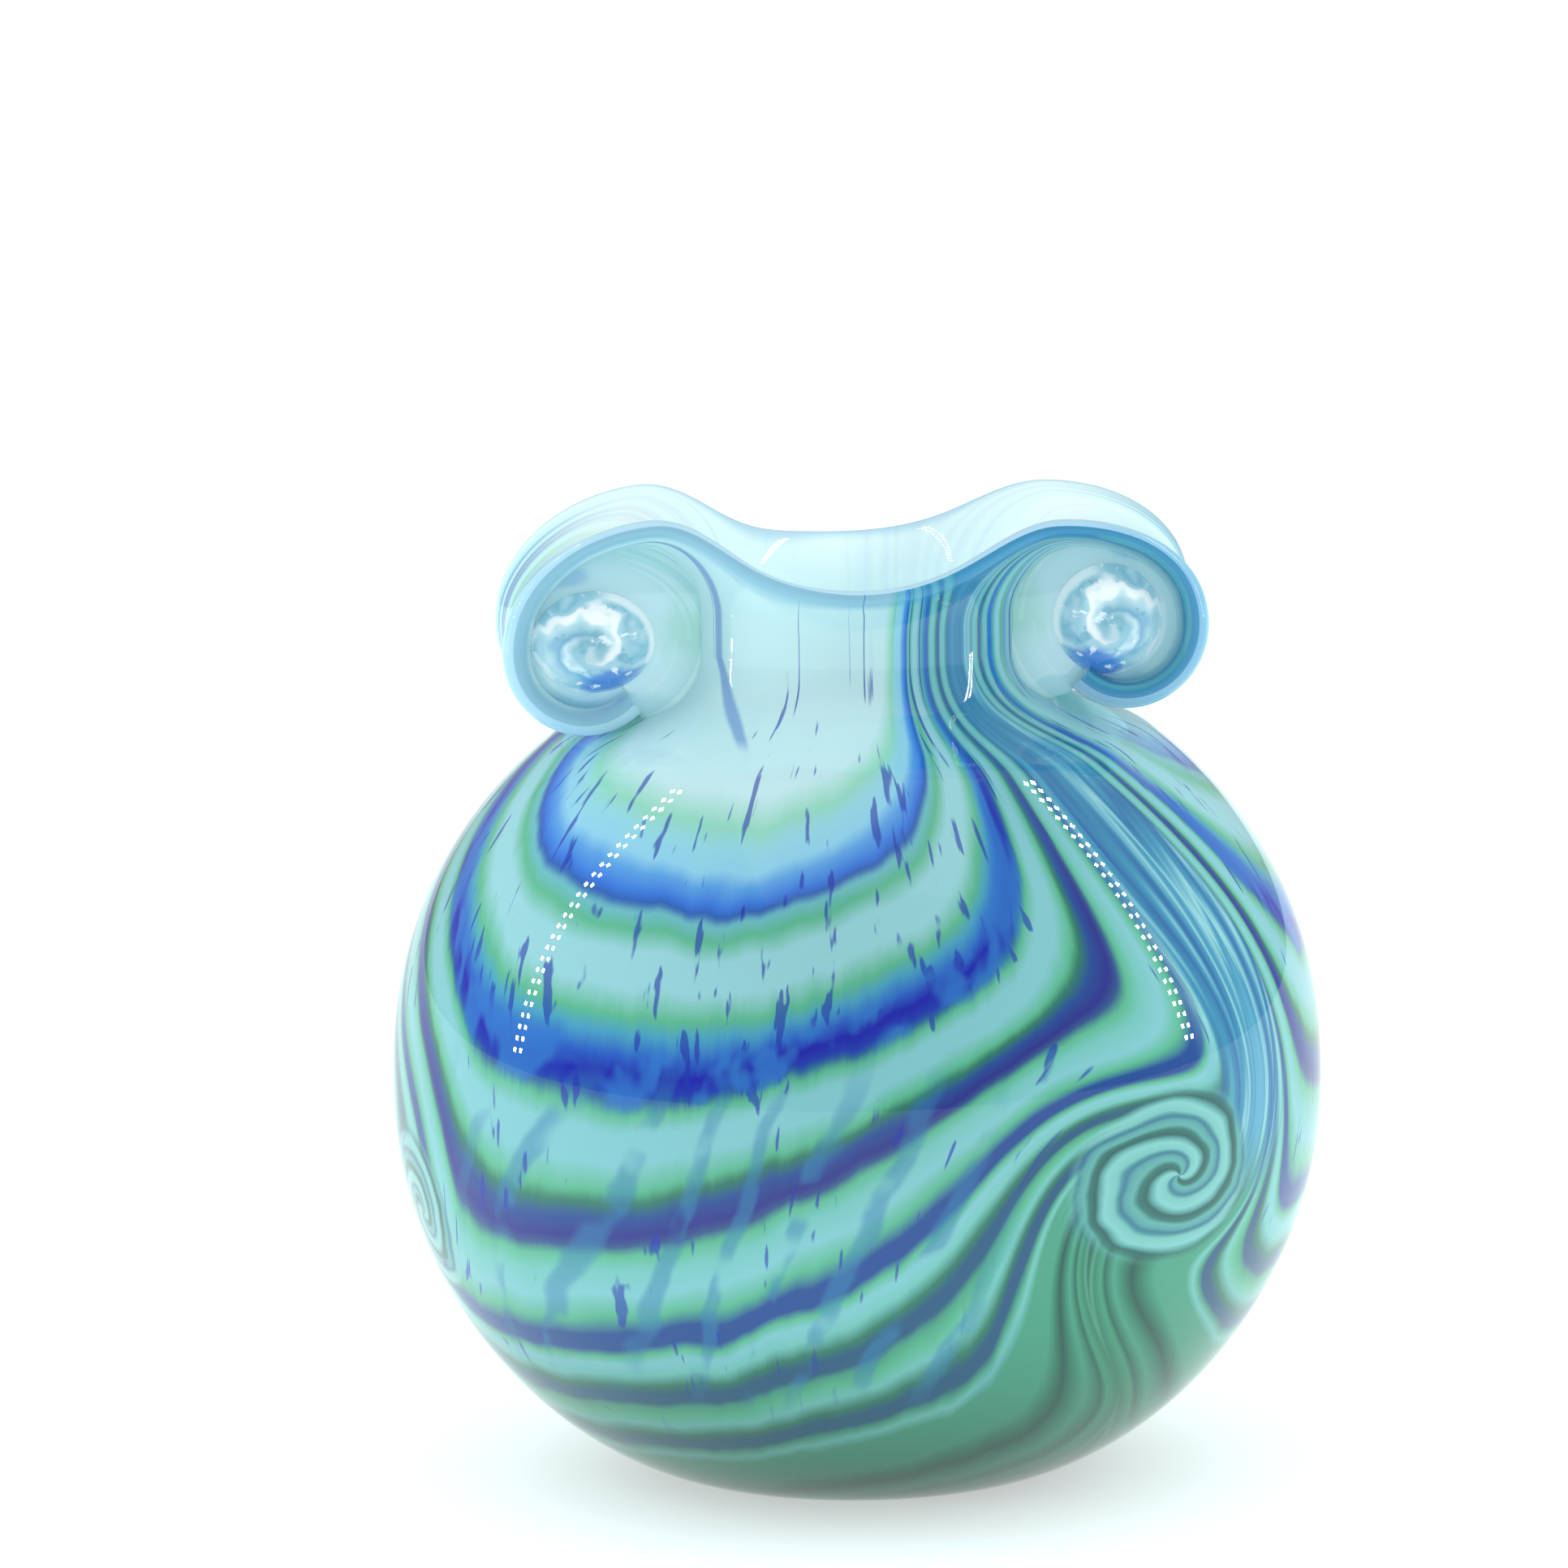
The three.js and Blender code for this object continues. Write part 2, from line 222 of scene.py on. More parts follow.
def smooth_sheet(scroll, distance, y):
    """The sheet without the bend into the neck."""
    rim = scroll["rim"]
    x = np.interp(distance, rim[:, 0], rim[:, 1])
    z = np.interp(distance, rim[:, 0], rim[:, 2])
    turn = np.interp(distance, rim[:, 0], rim[:, 3])
    across = y / half_width(scroll, distance)
    grow = smoothstep(distance, 4, 32)
    sag = TROUGH_DEPTH * grow * np.exp(-turn / TROUGH_FADE) * (1 - across**2)
    return np.stack((x - np.sin(turn) * sag, y, z - np.cos(turn) * sag), axis=-1)


def sheet(scroll, distance, y):
    """Middle points of the sheet and its normals, on the side that the lip faces."""
    distance = np.asarray(distance, float)
    y = np.asarray(y, float)
    step = SLOPE_STEP
    here = smooth_sheet(scroll, distance, y)
    ahead = smooth_sheet(scroll, distance + step, y)
    behind = smooth_sheet(scroll, np.maximum(distance - step, 0), y)
    along = (ahead - behind) / np.minimum(distance + step, 2 * step)[..., None]
    left = smooth_sheet(scroll, distance, y + step)
    right = smooth_sheet(scroll, distance, y - step)
    across = (left - right) / (2 * step)
    reach = np.maximum(np.hypot(distance, y), 1e-6)
    flare_edge = NECK_RADIUS - LIP_THICKNESS / 2 + FLARE_RADIUS
    inward = np.clip(flare_edge - reach, 0, FLARE_RADIUS)
    steep = inward / FLARE_RADIUS
    level = np.sqrt(1 - steep**2)
    up = np.array((0.0, 0.0, 1.0))
    flat = np.cross(along, across)
    bent = (y / reach)[..., None] * np.cross(along, up)
    bent = bent + (distance / reach)[..., None] * np.cross(up, across)
    normal = level[..., None] * flat + steep[..., None] * bent
    normal = normal / np.linalg.norm(normal, axis=-1)[..., None]
    here[..., 2] -= FLARE_RADIUS * (1 - level)
    mirror = np.array((scroll["side"], 1, 1))
    return here * mirror, normal * mirror


def roll_thickness(scroll, distance, y):
    """Thickness of the sheet, which swells on the inside of the roll: first at its edges, and
    where the clear tip starts all over."""
    turn = np.interp(distance, scroll["rim"][:, 0], scroll["rim"][:, 3])
    across = y / half_width(scroll, distance)
    (ring, *ring_turns), (tip, *tip_turns) = RING_SWELL, TIP_SWELL
    swell = ring * smoothstep(turn, *ring_turns) * across**2
    return LIP_THICKNESS + swell + tip * smoothstep(turn, *tip_turns)


def edge_round(edge_distance, thickness):
    """Half thickness near a fire polished edge."""
    half = thickness / 2
    inside = np.clip(1 - edge_distance / half, 0, 1)
    return half * np.sqrt(1 - inside**2)


EDGE_STEPS = 6
EDGE_ANGLES = np.linspace(0, math.pi / 2, EDGE_STEPS + 1)
EDGE_DISTANCES = (LIP_THICKNESS / 2) * (1 - np.cos(EDGE_ANGLES))


def across_places(width):
    """Places from the front edge to the back one, closest together at the edges."""
    edge = EDGE_DISTANCES / width
    middle = np.linspace(-1 + edge[-1], 1 - edge[-1], ACROSS_PLACES)[1:-1]
    return np.concatenate((-1 + edge, middle, (1 - edge)[::-1]))


# ---- Colour places ----
# Every point of the glass knows its longitude, from the front to +X, and its distance up
# the wall. On the lobes the longitudes crowd to the two edges of the sheet, as the glass
# does when it is drawn out, and the distance hardly grows.

LIP_START = FOOT_RADIUS + WALL_LENGTH
DRAWN_OUT = 0.16
CROWDING = 5
CROWDED_OVER = 20  # millimetres past the neck over which the longitudes crowd
EDGE_CROWDING = 4
EDGE_FROM = (4, 20)
FLARE_SHARE = 0.6


def lip_place(scroll, distance, y, extra):
    reach = np.hypot(distance, y)
    polar = np.arctan2(y, distance) / (math.pi / 2)
    across = np.clip(y / half_width(scroll, distance), -1, 1)
    crowded = np.sign(across) * np.abs(across) ** CROWDING
    turn = polar + (crowded - polar) * smoothstep(reach, NECK_RADIUS, NECK_RADIUS + CROWDED_OVER)
    edge = np.abs(across) ** EDGE_CROWDING * smoothstep(distance, *EDGE_FROM)
    turn = turn + np.sign(turn) * (scroll["edge_turn"] - np.abs(turn)) * edge
    longitude = scroll["side"] * (math.pi / 2) * (1 + turn)
    outward = np.maximum(0, reach - NECK_RADIUS) + extra
    return longitude, LIP_START + DRAWN_OUT * outward


# ---- One mesh for the whole marbled wall ----


class Skin:
    """Grids of points that are welded where they meet, and cut into named pieces."""

    def __init__(self):
        self.points = []
        self.places = []
        self.edges = []
        self.quads = []
        self.tags = []
        self.count = 0

    def grid(self, points, longitude, distance, tag, flip=False, wrap=False, edge=FAR_FROM_EDGE):
        """Adds a grid of points. Each quad gets the tag, and wrap closes the first index."""
        rows, columns = points.shape[:2]
        self.points.append(points.reshape(-1, 3))
        place = np.stack((np.sin(longitude), np.cos(longitude), distance), axis=-1)
        self.places.append(place.reshape(-1, 3))
        self.edges.append(np.broadcast_to(edge, (rows, columns)).reshape(-1))
        index = self.count + np.arange(rows * columns).reshape(rows, columns)
        after = np.roll(index, -1, axis=0) if wrap else index[1:]
        here = index if wrap else index[:-1]
        quads = np.stack((here[:, :-1], after[:, :-1], after[:, 1:], here[:, 1:]), axis=-1)
        quads = quads.reshape(-1, 4)
        if flip:
            quads = quads[:, ::-1]
        self.quads.append(quads)
        self.tags += [tag] * len(quads)
        self.count += rows * columns

    def weld(self):
        """All grids as one mesh, in which points at the same place are one point."""
        points = np.concatenate(self.points)
        places = np.concatenate(self.places)
        edges = np.concatenate(self.edges)
        quads = np.concatenate(self.quads)
        keys = np.round(points * WELDS_PER_MM + WELD_SHIFT).astype(np.int64)
        _, first, group = np.unique(keys, axis=0, return_index=True, return_inverse=True)
        group = group.reshape(-1)
        return points[first], places[first], edges[first], group[quads], np.array(self.tags)


def make_mesh(name, points, quads, places, edges, normals=None, lined=None):
    """A smooth mesh from quads that may have collapsed edges. lined is 1 for each quad that
    has the pale inner glass."""
    faces = []
    kinds = []
    for number, quad in enumerate(quads):
        face = [int(v) for i, v in enumerate(quad) if v != quad[i - 1]]
        if len(set(face)) >= 3:
            faces.append(face)
            kinds.append(0 if lined is None else int(lined[number]))
    used, inverse = np.unique([v for face in faces for v in face], return_inverse=True)
    numbers = iter(inverse)
    faces = [[int(next(numbers)) for _ in face] for face in faces]
    mesh = bpy.data.meshes.new(name)
    mesh.from_pydata((points[used] * MM).tolist(), [], faces)
    mesh.shade_smooth()
    mesh.polygons.foreach_set("material_index", kinds)
    layer = mesh.attributes.new("place", "FLOAT_VECTOR", "POINT")
    layer.data.foreach_set("vector", places[used].astype(np.float32).ravel())
    layer = mesh.attributes.new("edge", "FLOAT", "POINT")
    layer.data.foreach_set("value", edges[used].astype(np.float32))
    if normals is not None:
        mesh.normals_split_custom_set_from_vertices(normals[used].tolist())
    mesh.validate()
    piece = bpy.data.objects.new(name, mesh)
    bpy.context.collection.objects.link(piece)
    return piece


def lip_outline():
    """Side, distance and place across of the lip's outline, anticlockwise from the front."""
    steps = np.linspace(0, LIP_END, OUTLINE_STEPS)
    outline = []
    right, left = SCROLLS["right"], SCROLLS["left"]
    outline += [(right, d, -1.0) for d in steps[:-1]]
    outline += [(right, LIP_END, a) for a in across_places(half_width(right, LIP_END))]
    outline += [(right, d, 1.0) for d in steps[-2:0:-1]]
    outline += [(left, d, 1.0) for d in steps[:-1]]
    outline += [(left, LIP_END, a) for a in across_places(half_width(left, LIP_END))[::-1]]
    outline += [(left, d, -1.0) for d in steps[-2:0:-1]]
    return outline


def edge_away(scroll, distance, y):
    """Distance of a place on the sheet from its nearest free edge."""
    width = half_width(scroll, distance)
    slope = (half_width(scroll, distance + WIDTH_STEP) - width) / WIDTH_STEP
    return np.maximum(0, width - np.abs(y)) / np.sqrt(1 + slope**2)


def lip_row(scroll, distance, across):
    """One line of the lip from the top of the neck out to the outline."""
    middle = NECK_RADIUS - LIP_THICKNESS / 2
    y_end = across * half_width(scroll, distance)
    reach = math.hypot(distance, y_end)
    bent = min(reach - middle, FLARE_RADIUS)
    length = FLARE_RADIUS * math.acos(1 - bent / FLARE_RADIUS)
    length += max(0, reach - middle - FLARE_RADIUS)

    def place(along):
        turned = np.minimum(along / FLARE_RADIUS, math.pi / 2)
        over = np.maximum(0, along - FLARE_RADIUS * math.pi / 2)
        share = (middle + FLARE_RADIUS * (1 - np.cos(turned)) + over) / reach
        return distance * share, y_end * share

    back = 0.5
    away = edge_away(scroll, *place(np.array([length - back])))[0]
    free = abs(across) == 1
    slope = away / back if free else 1.0
    last = length - (EDGE_DISTANCES / max(slope, 0.2))[::-1]
    along = np.concatenate((np.linspace(0, last[0], LIP_STEPS)[:-1], last))
    d, y = place(along)
    points, normals = sheet(scroll, d, y)
    half = edge_round(edge_away(scroll, d, y), LIP_THICKNESS)
    if free:
        half[-1] = 0
    flared = FLARE_SHARE * np.minimum(along, FLARE_RADIUS)
    longitude, height = lip_place(scroll, d, y, flared)
    azimuth = math.atan2(scroll["side"] * distance, -y_end)
    radial = np.array((math.sin(azimuth), -math.cos(azimuth), 0))
    base = np.tile(radial * middle, (NECK_ROWS, 1))
    base[:, 2] = np.linspace(NECK_TOP, points[0, 2], NECK_ROWS + 1)[:-1]
    points = np.concatenate((base, points))
    normals = np.concatenate((np.tile(-radial, (NECK_ROWS, 1)), normals))
    half = np.concatenate((np.full(NECK_ROWS, LIP_THICKNESS / 2), half))
    low = np.linspace(LIP_START, height[0], NECK_ROWS + 1)[:-1]
    longitude = np.concatenate((np.full(NECK_ROWS, longitude[0]), longitude))
    height = np.concatenate((low, height))
    edge = np.concatenate((np.full(NECK_ROWS, FAR_FROM_EDGE), edge_away(scroll, d, y)))
    return points, normals, half, longitude, height, edge


def build_skin():
    """Lip, body, foot and rolled sheets, welded to one mesh."""
    skin = Skin()
    outline = lip_outline()
    rows = zip(*[lip_row(*item) for item in outline])
    points, normals, half, longitude, height, edge = (np.array(row) for row in rows)
    half = half[..., None]
    skin.grid(points - normals * half, longitude, height, "lip_outside", False, True, edge)
    skin.grid(points + normals * half, longitude, height, "lip_inside", True, True, edge)

    azimuth = np.array([math.atan2(s["side"] * d, -a * half_width(s, d)) for s, d, a in outline])
    rim_longitude = longitude[:, 0]

    def lathe(profile, heights, tag, flip):
        r, z = profile[:, 0], profile[:, 1]
        x = np.sin(azimuth)[:, None] * r
        y = -np.cos(azimuth)[:, None] * r
        grid = np.stack((x, y, np.broadcast_to(z, x.shape)), axis=-1)
        turn = np.broadcast_to(rim_longitude[:, None], x.shape)
        skin.grid(grid, turn, np.broadcast_to(heights, x.shape), tag, flip, wrap=True)

    heights = FOOT_RADIUS + WALL_ALONG
    lathe(WALL, heights, "body_outside", False)
    inside = inner_wall()
    lathe(inside, heights, "body_inside", True)
    for profile, tag, flip in ((WALL, "foot", True), (inside, "body_inside", False)):
        radius, level = profile[0]
        r = np.linspace(0, radius, DISC_ROWS)[::-1]
        disc = np.stack((r, np.full(DISC_ROWS, level)), axis=1)
        lathe(disc, FOOT_RADIUS * r / radius, tag, flip)

    for name, scroll in SCROLLS.items():
        places = across_places(half_width(scroll, LIP_END))
        steps = int((scroll["roll_end"] - LIP_END) / ROLL_STEP)
        distance = np.linspace(LIP_END, scroll["roll_end"], steps + 1)[:, None]
        width = half_width(scroll, distance)
        y = places[None, :] * width
        distance = np.broadcast_to(distance, y.shape)
        thickness = roll_thickness(scroll, distance, y)
        middle, normal = sheet(scroll, distance, y)
        middle = middle - normal * ((thickness - LIP_THICKNESS) / 2)[..., None]
        edge = edge_away(scroll, distance, y)
        rounded = edge_round(edge, thickness)[..., None]
        rounded[:, 0] = 0
        rounded[:, -1] = 0
        turn, height = lip_place(scroll, distance, y, FLARE_RADIUS * FLARE_SHARE)
        flip = scroll["side"] < 0
        under, over = middle - normal * rounded, middle + normal * rounded
        skin.grid(under, turn, height, name + "_under", not flip, False, edge)
        skin.grid(over, turn, height, name + "_over", flip, False, edge)
        end = np.stack((under[-1], over[-1]))
        skin.grid(end, turn[[-1, -1]], height[[-1, -1]], name + "_over", flip)
    return skin.weld()


# ---- The fused glass inside each roll, and its clear ball ----

HEART_HALF = 12.5
HEART_DOME = 2.5
HEART_DROP = 6
HEART_SAG = 1.2  # how far the melted glass hangs out from the end of the ring
BALL_HALF = 19.5
BALL_FULLNESS = 0.4
BALL_RIDGE = 0.05
BALL_WIND = 9  # radians that the ridge turns from the ball's pole to its widest ring
BALL_ROWS = (61, 72)
HEART_ROWS = 14
DOME_ROWS = 12


def heart_loop(scroll, y):
    """Outline of the fused glass at one place across, along the roll and down the neck."""
    inward = math.sqrt((NECK_RADIUS - 1) ** 2 - y**2)
    distance = np.linspace(inward, scroll["roll_end"], 90)
    roll, _ = sheet(scroll, distance, np.full_like(distance, y))
    melted = roll[-1] + np.array((-scroll["side"] * HEART_SAG, 0, -HEART_DROP / 2))
    foot = np.array((scroll["side"] * (inward - 2), y, roll[-1, 2] - HEART_DROP))
    parts = (np.linspace(roll[-1], melted, 5)[1:], np.linspace(melted, foot, 10)[1:])
    flank = np.linspace(foot, roll[0], 16)[1:-1]
    return np.concatenate((roll, *parts, flank))


def ball_places(scroll, points):
    """Places measured from the middle of the ball, outwards, upwards and across."""
    (x, z), (width, height) = scroll["ball"], scroll["ball_radius"]
    outwards = (points[..., 0] * scroll["side"] - x) / width
    return np.stack((outwards, (points[..., 2] - z) / height, points[..., 1] / BALL_HALF), axis=-1)


def closed_mesh(name, scroll, rings):
    """A mesh from closed rings of points, of which the first and the last are single places."""
    rows, columns = rings.shape[:2]
    index = np.arange(rows * columns).reshape(rows, columns)
    index[0] = index[0, 0]
    index[-1] = index[-1, 0]
    after = np.roll(index, -1, axis=1)
    quads = np.stack((index[:-1], index[1:], after[1:], after[:-1]), axis=-1).reshape(-1, 4)
    if scroll["side"] < 0:
        quads = quads[:, ::-1]
    points = rings.reshape(-1, 3)
    edges = np.full(len(points), float(FAR_FROM_EDGE))
    return make_mesh(name, points, quads, ball_places(scroll, points), edges)


def scroll_heart(name, scroll):
    """Fused pale glass that fills a roll, domed at its front and its back."""
    x, z = scroll["ball"]
    shares = np.sin(np.linspace(0, math.pi / 2, DOME_ROWS))
    rings = []
    for way in (-1, 1):
        loop = heart_loop(scroll, way * HEART_HALF)
        centre = np.array((scroll["side"] * x, way * HEART_HALF, z))
        cap = centre + (loop - centre) * shares[:, None, None]
        cap[..., 1] += way * HEART_DOME * np.sqrt(1 - shares**2)[:, None]
        rings.append(cap if way < 0 else cap[::-1])
    middles = np.linspace(-HEART_HALF, HEART_HALF, HEART_ROWS)[1:-1]
    between = [heart_loop(scroll, y) for y in middles]
    rings = np.concatenate((rings[0], between, rings[1]))
    return closed_mesh(name + "_scroll_heart", scroll, rings)


def scroll_ball(name, scroll):
    """The clear tip, rolled tight and melted to a ball with a low spiral ridge."""
    (x, z), (width, height) = scroll["ball"], scroll["ball_radius"]
    rows, columns = BALL_ROWS
    along = np.linspace(0, math.pi, rows)[:, None]
    turn = np.linspace(0, 2 * math.pi, columns, endpoint=False)[None, :]
    round_share = np.maximum(np.sin(along), 0) ** BALL_FULLNESS
    ridge = 1 + BALL_RIDGE * round_share * np.sin(turn + BALL_WIND * round_share)
    points = np.stack(
        (
            scroll["side"] * (x + width * round_share * np.cos(turn)),
            -BALL_HALF * np.cos(along) * ridge,
            z + height * round_share * np.sin(turn) + 0 * along,
        ),
        axis=-1,
    )
    return closed_mesh(name + "_clear_tip", scroll, points)


points, places, edges, quads, tags = build_skin()
whole = bpy.data.meshes.new("whole")
kept = [[int(v) for i, v in enumerate(q) if v != q[i - 1]] for q in quads]
whole.from_pydata(points.tolist(), [], [face for face in kept if len(set(face)) >= 3])
normals = np.zeros(len(points) * 3, np.float32)
whole.vertices.foreach_get("normal", normals)
normals = normals.reshape(-1, 3)
bpy.data.meshes.remove(whole)

# Each piece: its faces with the full colours, its faces with the pale ones, and its slot
PIECES = {
    "marbled_casing": ("body_outside", None, "cased_art_glass"),
    "ground_foot": ("foot", None, "cased_art_glass"),
    "opal_lining": (None, "body_inside", "opal_aqua_glass"),
    "flared_lip": ("lip_outside", "lip_inside", "lip_glass"),
    "right_rolled_scroll": ("right_under", "right_over", "lip_glass"),
    "left_rolled_scroll": ("left_under", "left_over", "lip_glass"),
}
pieces = {}
for name, (coloured, pale, slot) in PIECES.items():
    chosen = np.isin(tags, [tag for tag in (coloured, pale) if tag])
    lined = (tags[chosen] == pale) & (coloured is not None)
    pieces[name] = make_mesh(name, points, quads[chosen], places, edges, normals, lined)
for name, scroll in SCROLLS.items():
    pieces[name + "_clear_tip"] = scroll_ball(name, scroll)
    pieces[name + "_scroll_heart"] = scroll_heart(name, scroll)

# ---- Shader arithmetic ----


class Number:
    """One number of a shader, with the usual arithmetic."""

    def __init__(self, tree, socket):
        self.tree = tree
        self.socket = socket

    def node(self, operation, *others, clamp=False):
        made = self.tree.nodes.new("ShaderNodeMath")
        made.operation = operation
        made.use_clamp = clamp
        for slot, value in zip(made.inputs, (self, *others)):
            feed(self.tree, slot, value)
        return Number(self.tree, made.outputs[0])

    def __add__(self, other):
        return self.node("ADD", other)

    def __sub__(self, other):
        return self.node("SUBTRACT", other)

    def __mul__(self, other):
        return self.node("MULTIPLY", other)

    def __truediv__(self, other):
        return self.node("DIVIDE", other)

    def __rsub__(self, other):
        return (self * -1) + other

    def __rtruediv__(self, other):
        return self.node("POWER", -1) * other


def feed(tree, slot, value):
    if isinstance(value, Number):
        tree.links.new(value.socket, slot)
    else:
        slot.default_value = value


def exp(x):
    return x.node("EXPONENT")


def sin(x):
    return x.node("SINE")


def cos(x):
    return x.node("COSINE")


def above(x, low, high):
    """0 below low, 1 above high, and smooth between."""
    made = x.tree.nodes.new("ShaderNodeMapRange")
    made.interpolation_type = "SMOOTHSTEP"
    feed(x.tree, made.inputs["Value"], x)
    feed(x.tree, made.inputs["From Min"], low)
    feed(x.tree, made.inputs["From Max"], high)
    return Number(x.tree, made.outputs["Result"])


def band(x, rises, falls):
    """Smooth rise over one pair of numbers, and smooth fall over the other."""
    return above(x, *rises) * (1 - above(x, *falls))


def noise(tree, vector, detail, roughness):
    made = tree.nodes.new("ShaderNodeTexNoise")
    made.inputs["Scale"].default_value = 1
    made.inputs["Detail"].default_value = detail
    made.inputs["Roughness"].default_value = roughness
    tree.links.new(vector, made.inputs["Vector"])
    return Number(tree, made.outputs["Fac"])


def combine(tree, x, y, z):
    made = tree.nodes.new("ShaderNodeCombineXYZ")
    for slot, value in zip(made.inputs, (x, y, z)):
        feed(tree, slot, value)
    return made.outputs[0]


def linear(colour):
    """Linear colour with alpha from an 8 bit display colour."""
    out = []
    for c in colour:
        c = c / 255
        out.append(c / 12.92 if c <= 0.04045 else ((c + 0.055) / 1.055) ** 2.4)
    return (*out, 1.0)


def ramp(x, stops, low, high):
    """Colour by a number between low and high, from (number, colour) stops."""
    made = x.tree.nodes.new("ShaderNodeValToRGB")
    tree = x.tree
    elements = made.color_ramp.elements
    while len(elements) > 1:
        elements.remove(elements[-1])
    for i, (place, colour) in enumerate(stops):
        share = (place - low) / (high - low)
        element = elements[0] if i == 0 else elements.new(share)
        element.position = share
        element.color = linear(colour)
    feed(tree, made.inputs[0], (x - low) / (high - low))
    return made.outputs["Color"]


def mix(tree, share, a, b):
    made = tree.nodes.new("ShaderNodeMix")
    made.data_type = "RGBA"
    feed(tree, made.inputs[0], share)
    for slot, value in ((made.inputs[6], a), (made.inputs[7], b)):
        if isinstance(value, tuple):
            slot.default_value = value
        else:
            tree.links.new(value, slot)
    return made.outputs[2]


# ---- The marbled pattern ----
# Rings of colour are wound round the bubble. Three tools then drag them upwards, and each
# drag starts with a twist that leaves a curl. A point's colour is found by undoing the
# twists and the drags to find the ring that the glass came from.

CURLS = (
    dict(longitude=36, height=109, turn=3.4, reach=15.5),
    dict(longitude=-77, height=97, turn=2.6, reach=14),
    dict(longitude=160, height=104, turn=3.4, reach=14.5),
)
DRAGS = (
    dict(longitude=37, rise=116, width=13.1),
    dict(longitude=-99, rise=82, width=33),
    dict(longitude=157, rise=116, width=13.1),
)
CURL_RADIUS = 70
CURL_EDGE = (12, 15.5)
CURL_ARMS = 2  # lines that wind round each other from the middle of a curl
CURL_PITCH = 6.2  # distance from one of these lines out to the next
DRAG_LEAN = -0.09
LEAN_FROM = 150
DRAG_FROM = 94
DRAG_SOFT = 23.3
NARROW_DRAG = 20  # the glass is drawn out to threads only where a drag is narrower
STRETCH_FROM = 130.5
STRETCH = 0.0036
TILT = 13.2
DEGREES = 180 / math.pi


def around(x):
    """An angle in degrees brought between -180 and 180."""
    return x.node("WRAP", 180, -180)


def flow(longitude, height):
    """The ring level that the glass at a place came from, its first longitude, how far the
    tool drew it out, whether it lies in a curl, and its place across the curl's lines."""
    near = spiral = None
    for curl in reversed(CURLS):
        dx = around(longitude - curl["longitude"]) * (CURL_RADIUS / DEGREES)
        dz = height - curl["height"]
        away = (dx * dx + dz * dz).node("SQRT")
        inside = 1 - above(away, *CURL_EDGE)
        arms = dz.node("ARCTAN2", dx) * (CURL_ARMS / 2 / math.pi) - away / CURL_PITCH
        arms = arms * inside.node("CEIL")
        near = inside if near is None else near.node("MAXIMUM", inside)
        spiral = arms if spiral is None else spiral + arms
        angle = exp(away * (-1 / curl["reach"])) * curl["turn"]
        c, s = cos(angle), sin(angle)
        longitude = longitude + (dx * c - dz * s - dx) * (DEGREES / CURL_RADIUS)
        height = dx * s + dz * c + curl["height"]
    drawn = None
    fade = 1 / (exp((height - DRAG_FROM) * (-1 / DRAG_SOFT)) + 1)
    level = height - (height - STRETCH_FROM).node("MAXIMUM", 0).node("POWER", 2) * STRETCH
    level = level - sin(longitude * (1 / DEGREES)) * TILT
    for drag in DRAGS:
        lean = (height - LEAN_FROM) * DRAG_LEAN
        away = around(longitude - lean - drag["longitude"]).node("ABSOLUTE")
        pull = exp(away * (-1 / drag["width"])) * fade
        level = level - pull * drag["rise"]
        if drag["width"] < NARROW_DRAG:
            drawn = pull if drawn is None else drawn.node("MAXIMUM", pull)
    return level, longitude, drawn, near, spiral


# Colours of the rings by level, in millimetres up the wound bubble
PALE = (200, 238, 243)
PALE_MID = (154, 214, 221)
PALE_LOW = (134, 202, 208)
MIST = (120, 198, 190)
GREEN = (92, 186, 146)
SEA = (74, 162, 132)
DEEP_GREEN = (44, 124, 98)
BOTTLE = (28, 86, 76)
TEAL = (34, 88, 128)
BLUE = (30, 76, 150)
COBALT = (8, 18, 172)
PURPLE = (40, 44, 140)

# The lowest stops, near the foot, are darkened as painted shade.
LOW_RINGS = (
    (0, (20, 60, 54)), (22, (28, 80, 68)), (27, (44, 112, 90)), (29, (84, 160, 132)),
    (30.5, (52, 130, 104)), (34, (70, 158, 124)), (35.6, (34, 104, 86)), (39, SEA),
    (42.5, DEEP_GREEN), (44.5, BOTTLE), (47, DEEP_GREEN), (50, SEA), (57.5, SEA),
    (59.5, MIST), (61, SEA), (62.2, TEAL), (64.4, TEAL), (66, DEEP_GREEN), (68.5, MIST),
    (71, GREEN), (72.8, SEA), (74, TEAL), (76.2, TEAL), (78, DEEP_GREEN), (80.5, MIST),
    (83, PALE_LOW), (84.6, GREEN), (86, BLUE), (88.8, BLUE), (91.5, GREEN), (95, PALE_LOW),
)
HIGH_RINGS = (
    (95, PALE_LOW), (99, MIST), (101.4, GREEN), (103, (48, 84, 140)), (104.4, PURPLE),
    (107.2, BLUE), (109.4, DEEP_GREEN), (111, GREEN), (114.5, PALE_LOW), (118.5, PALE_LOW),
    (121, GREEN), (122.6, (30, 100, 150)), (123.6, (16, 56, 176)), (126, COBALT),
    (128.5, (34, 96, 196)), (131.5, (70, 160, 196)), (134, GREEN), (138, PALE_MID),
    (143, PALE_MID), (146, GREEN), (148.4, (110, 190, 200)), (149.6, (40, 92, 176)),
    (151, (52, 122, 224)), (153.6, (92, 166, 232)), (155.6, (146, 212, 240)),
    (159, (150, 218, 230)), (161.5, (148, 220, 196)), (166, PALE), (230, (206, 244, 250)),
)

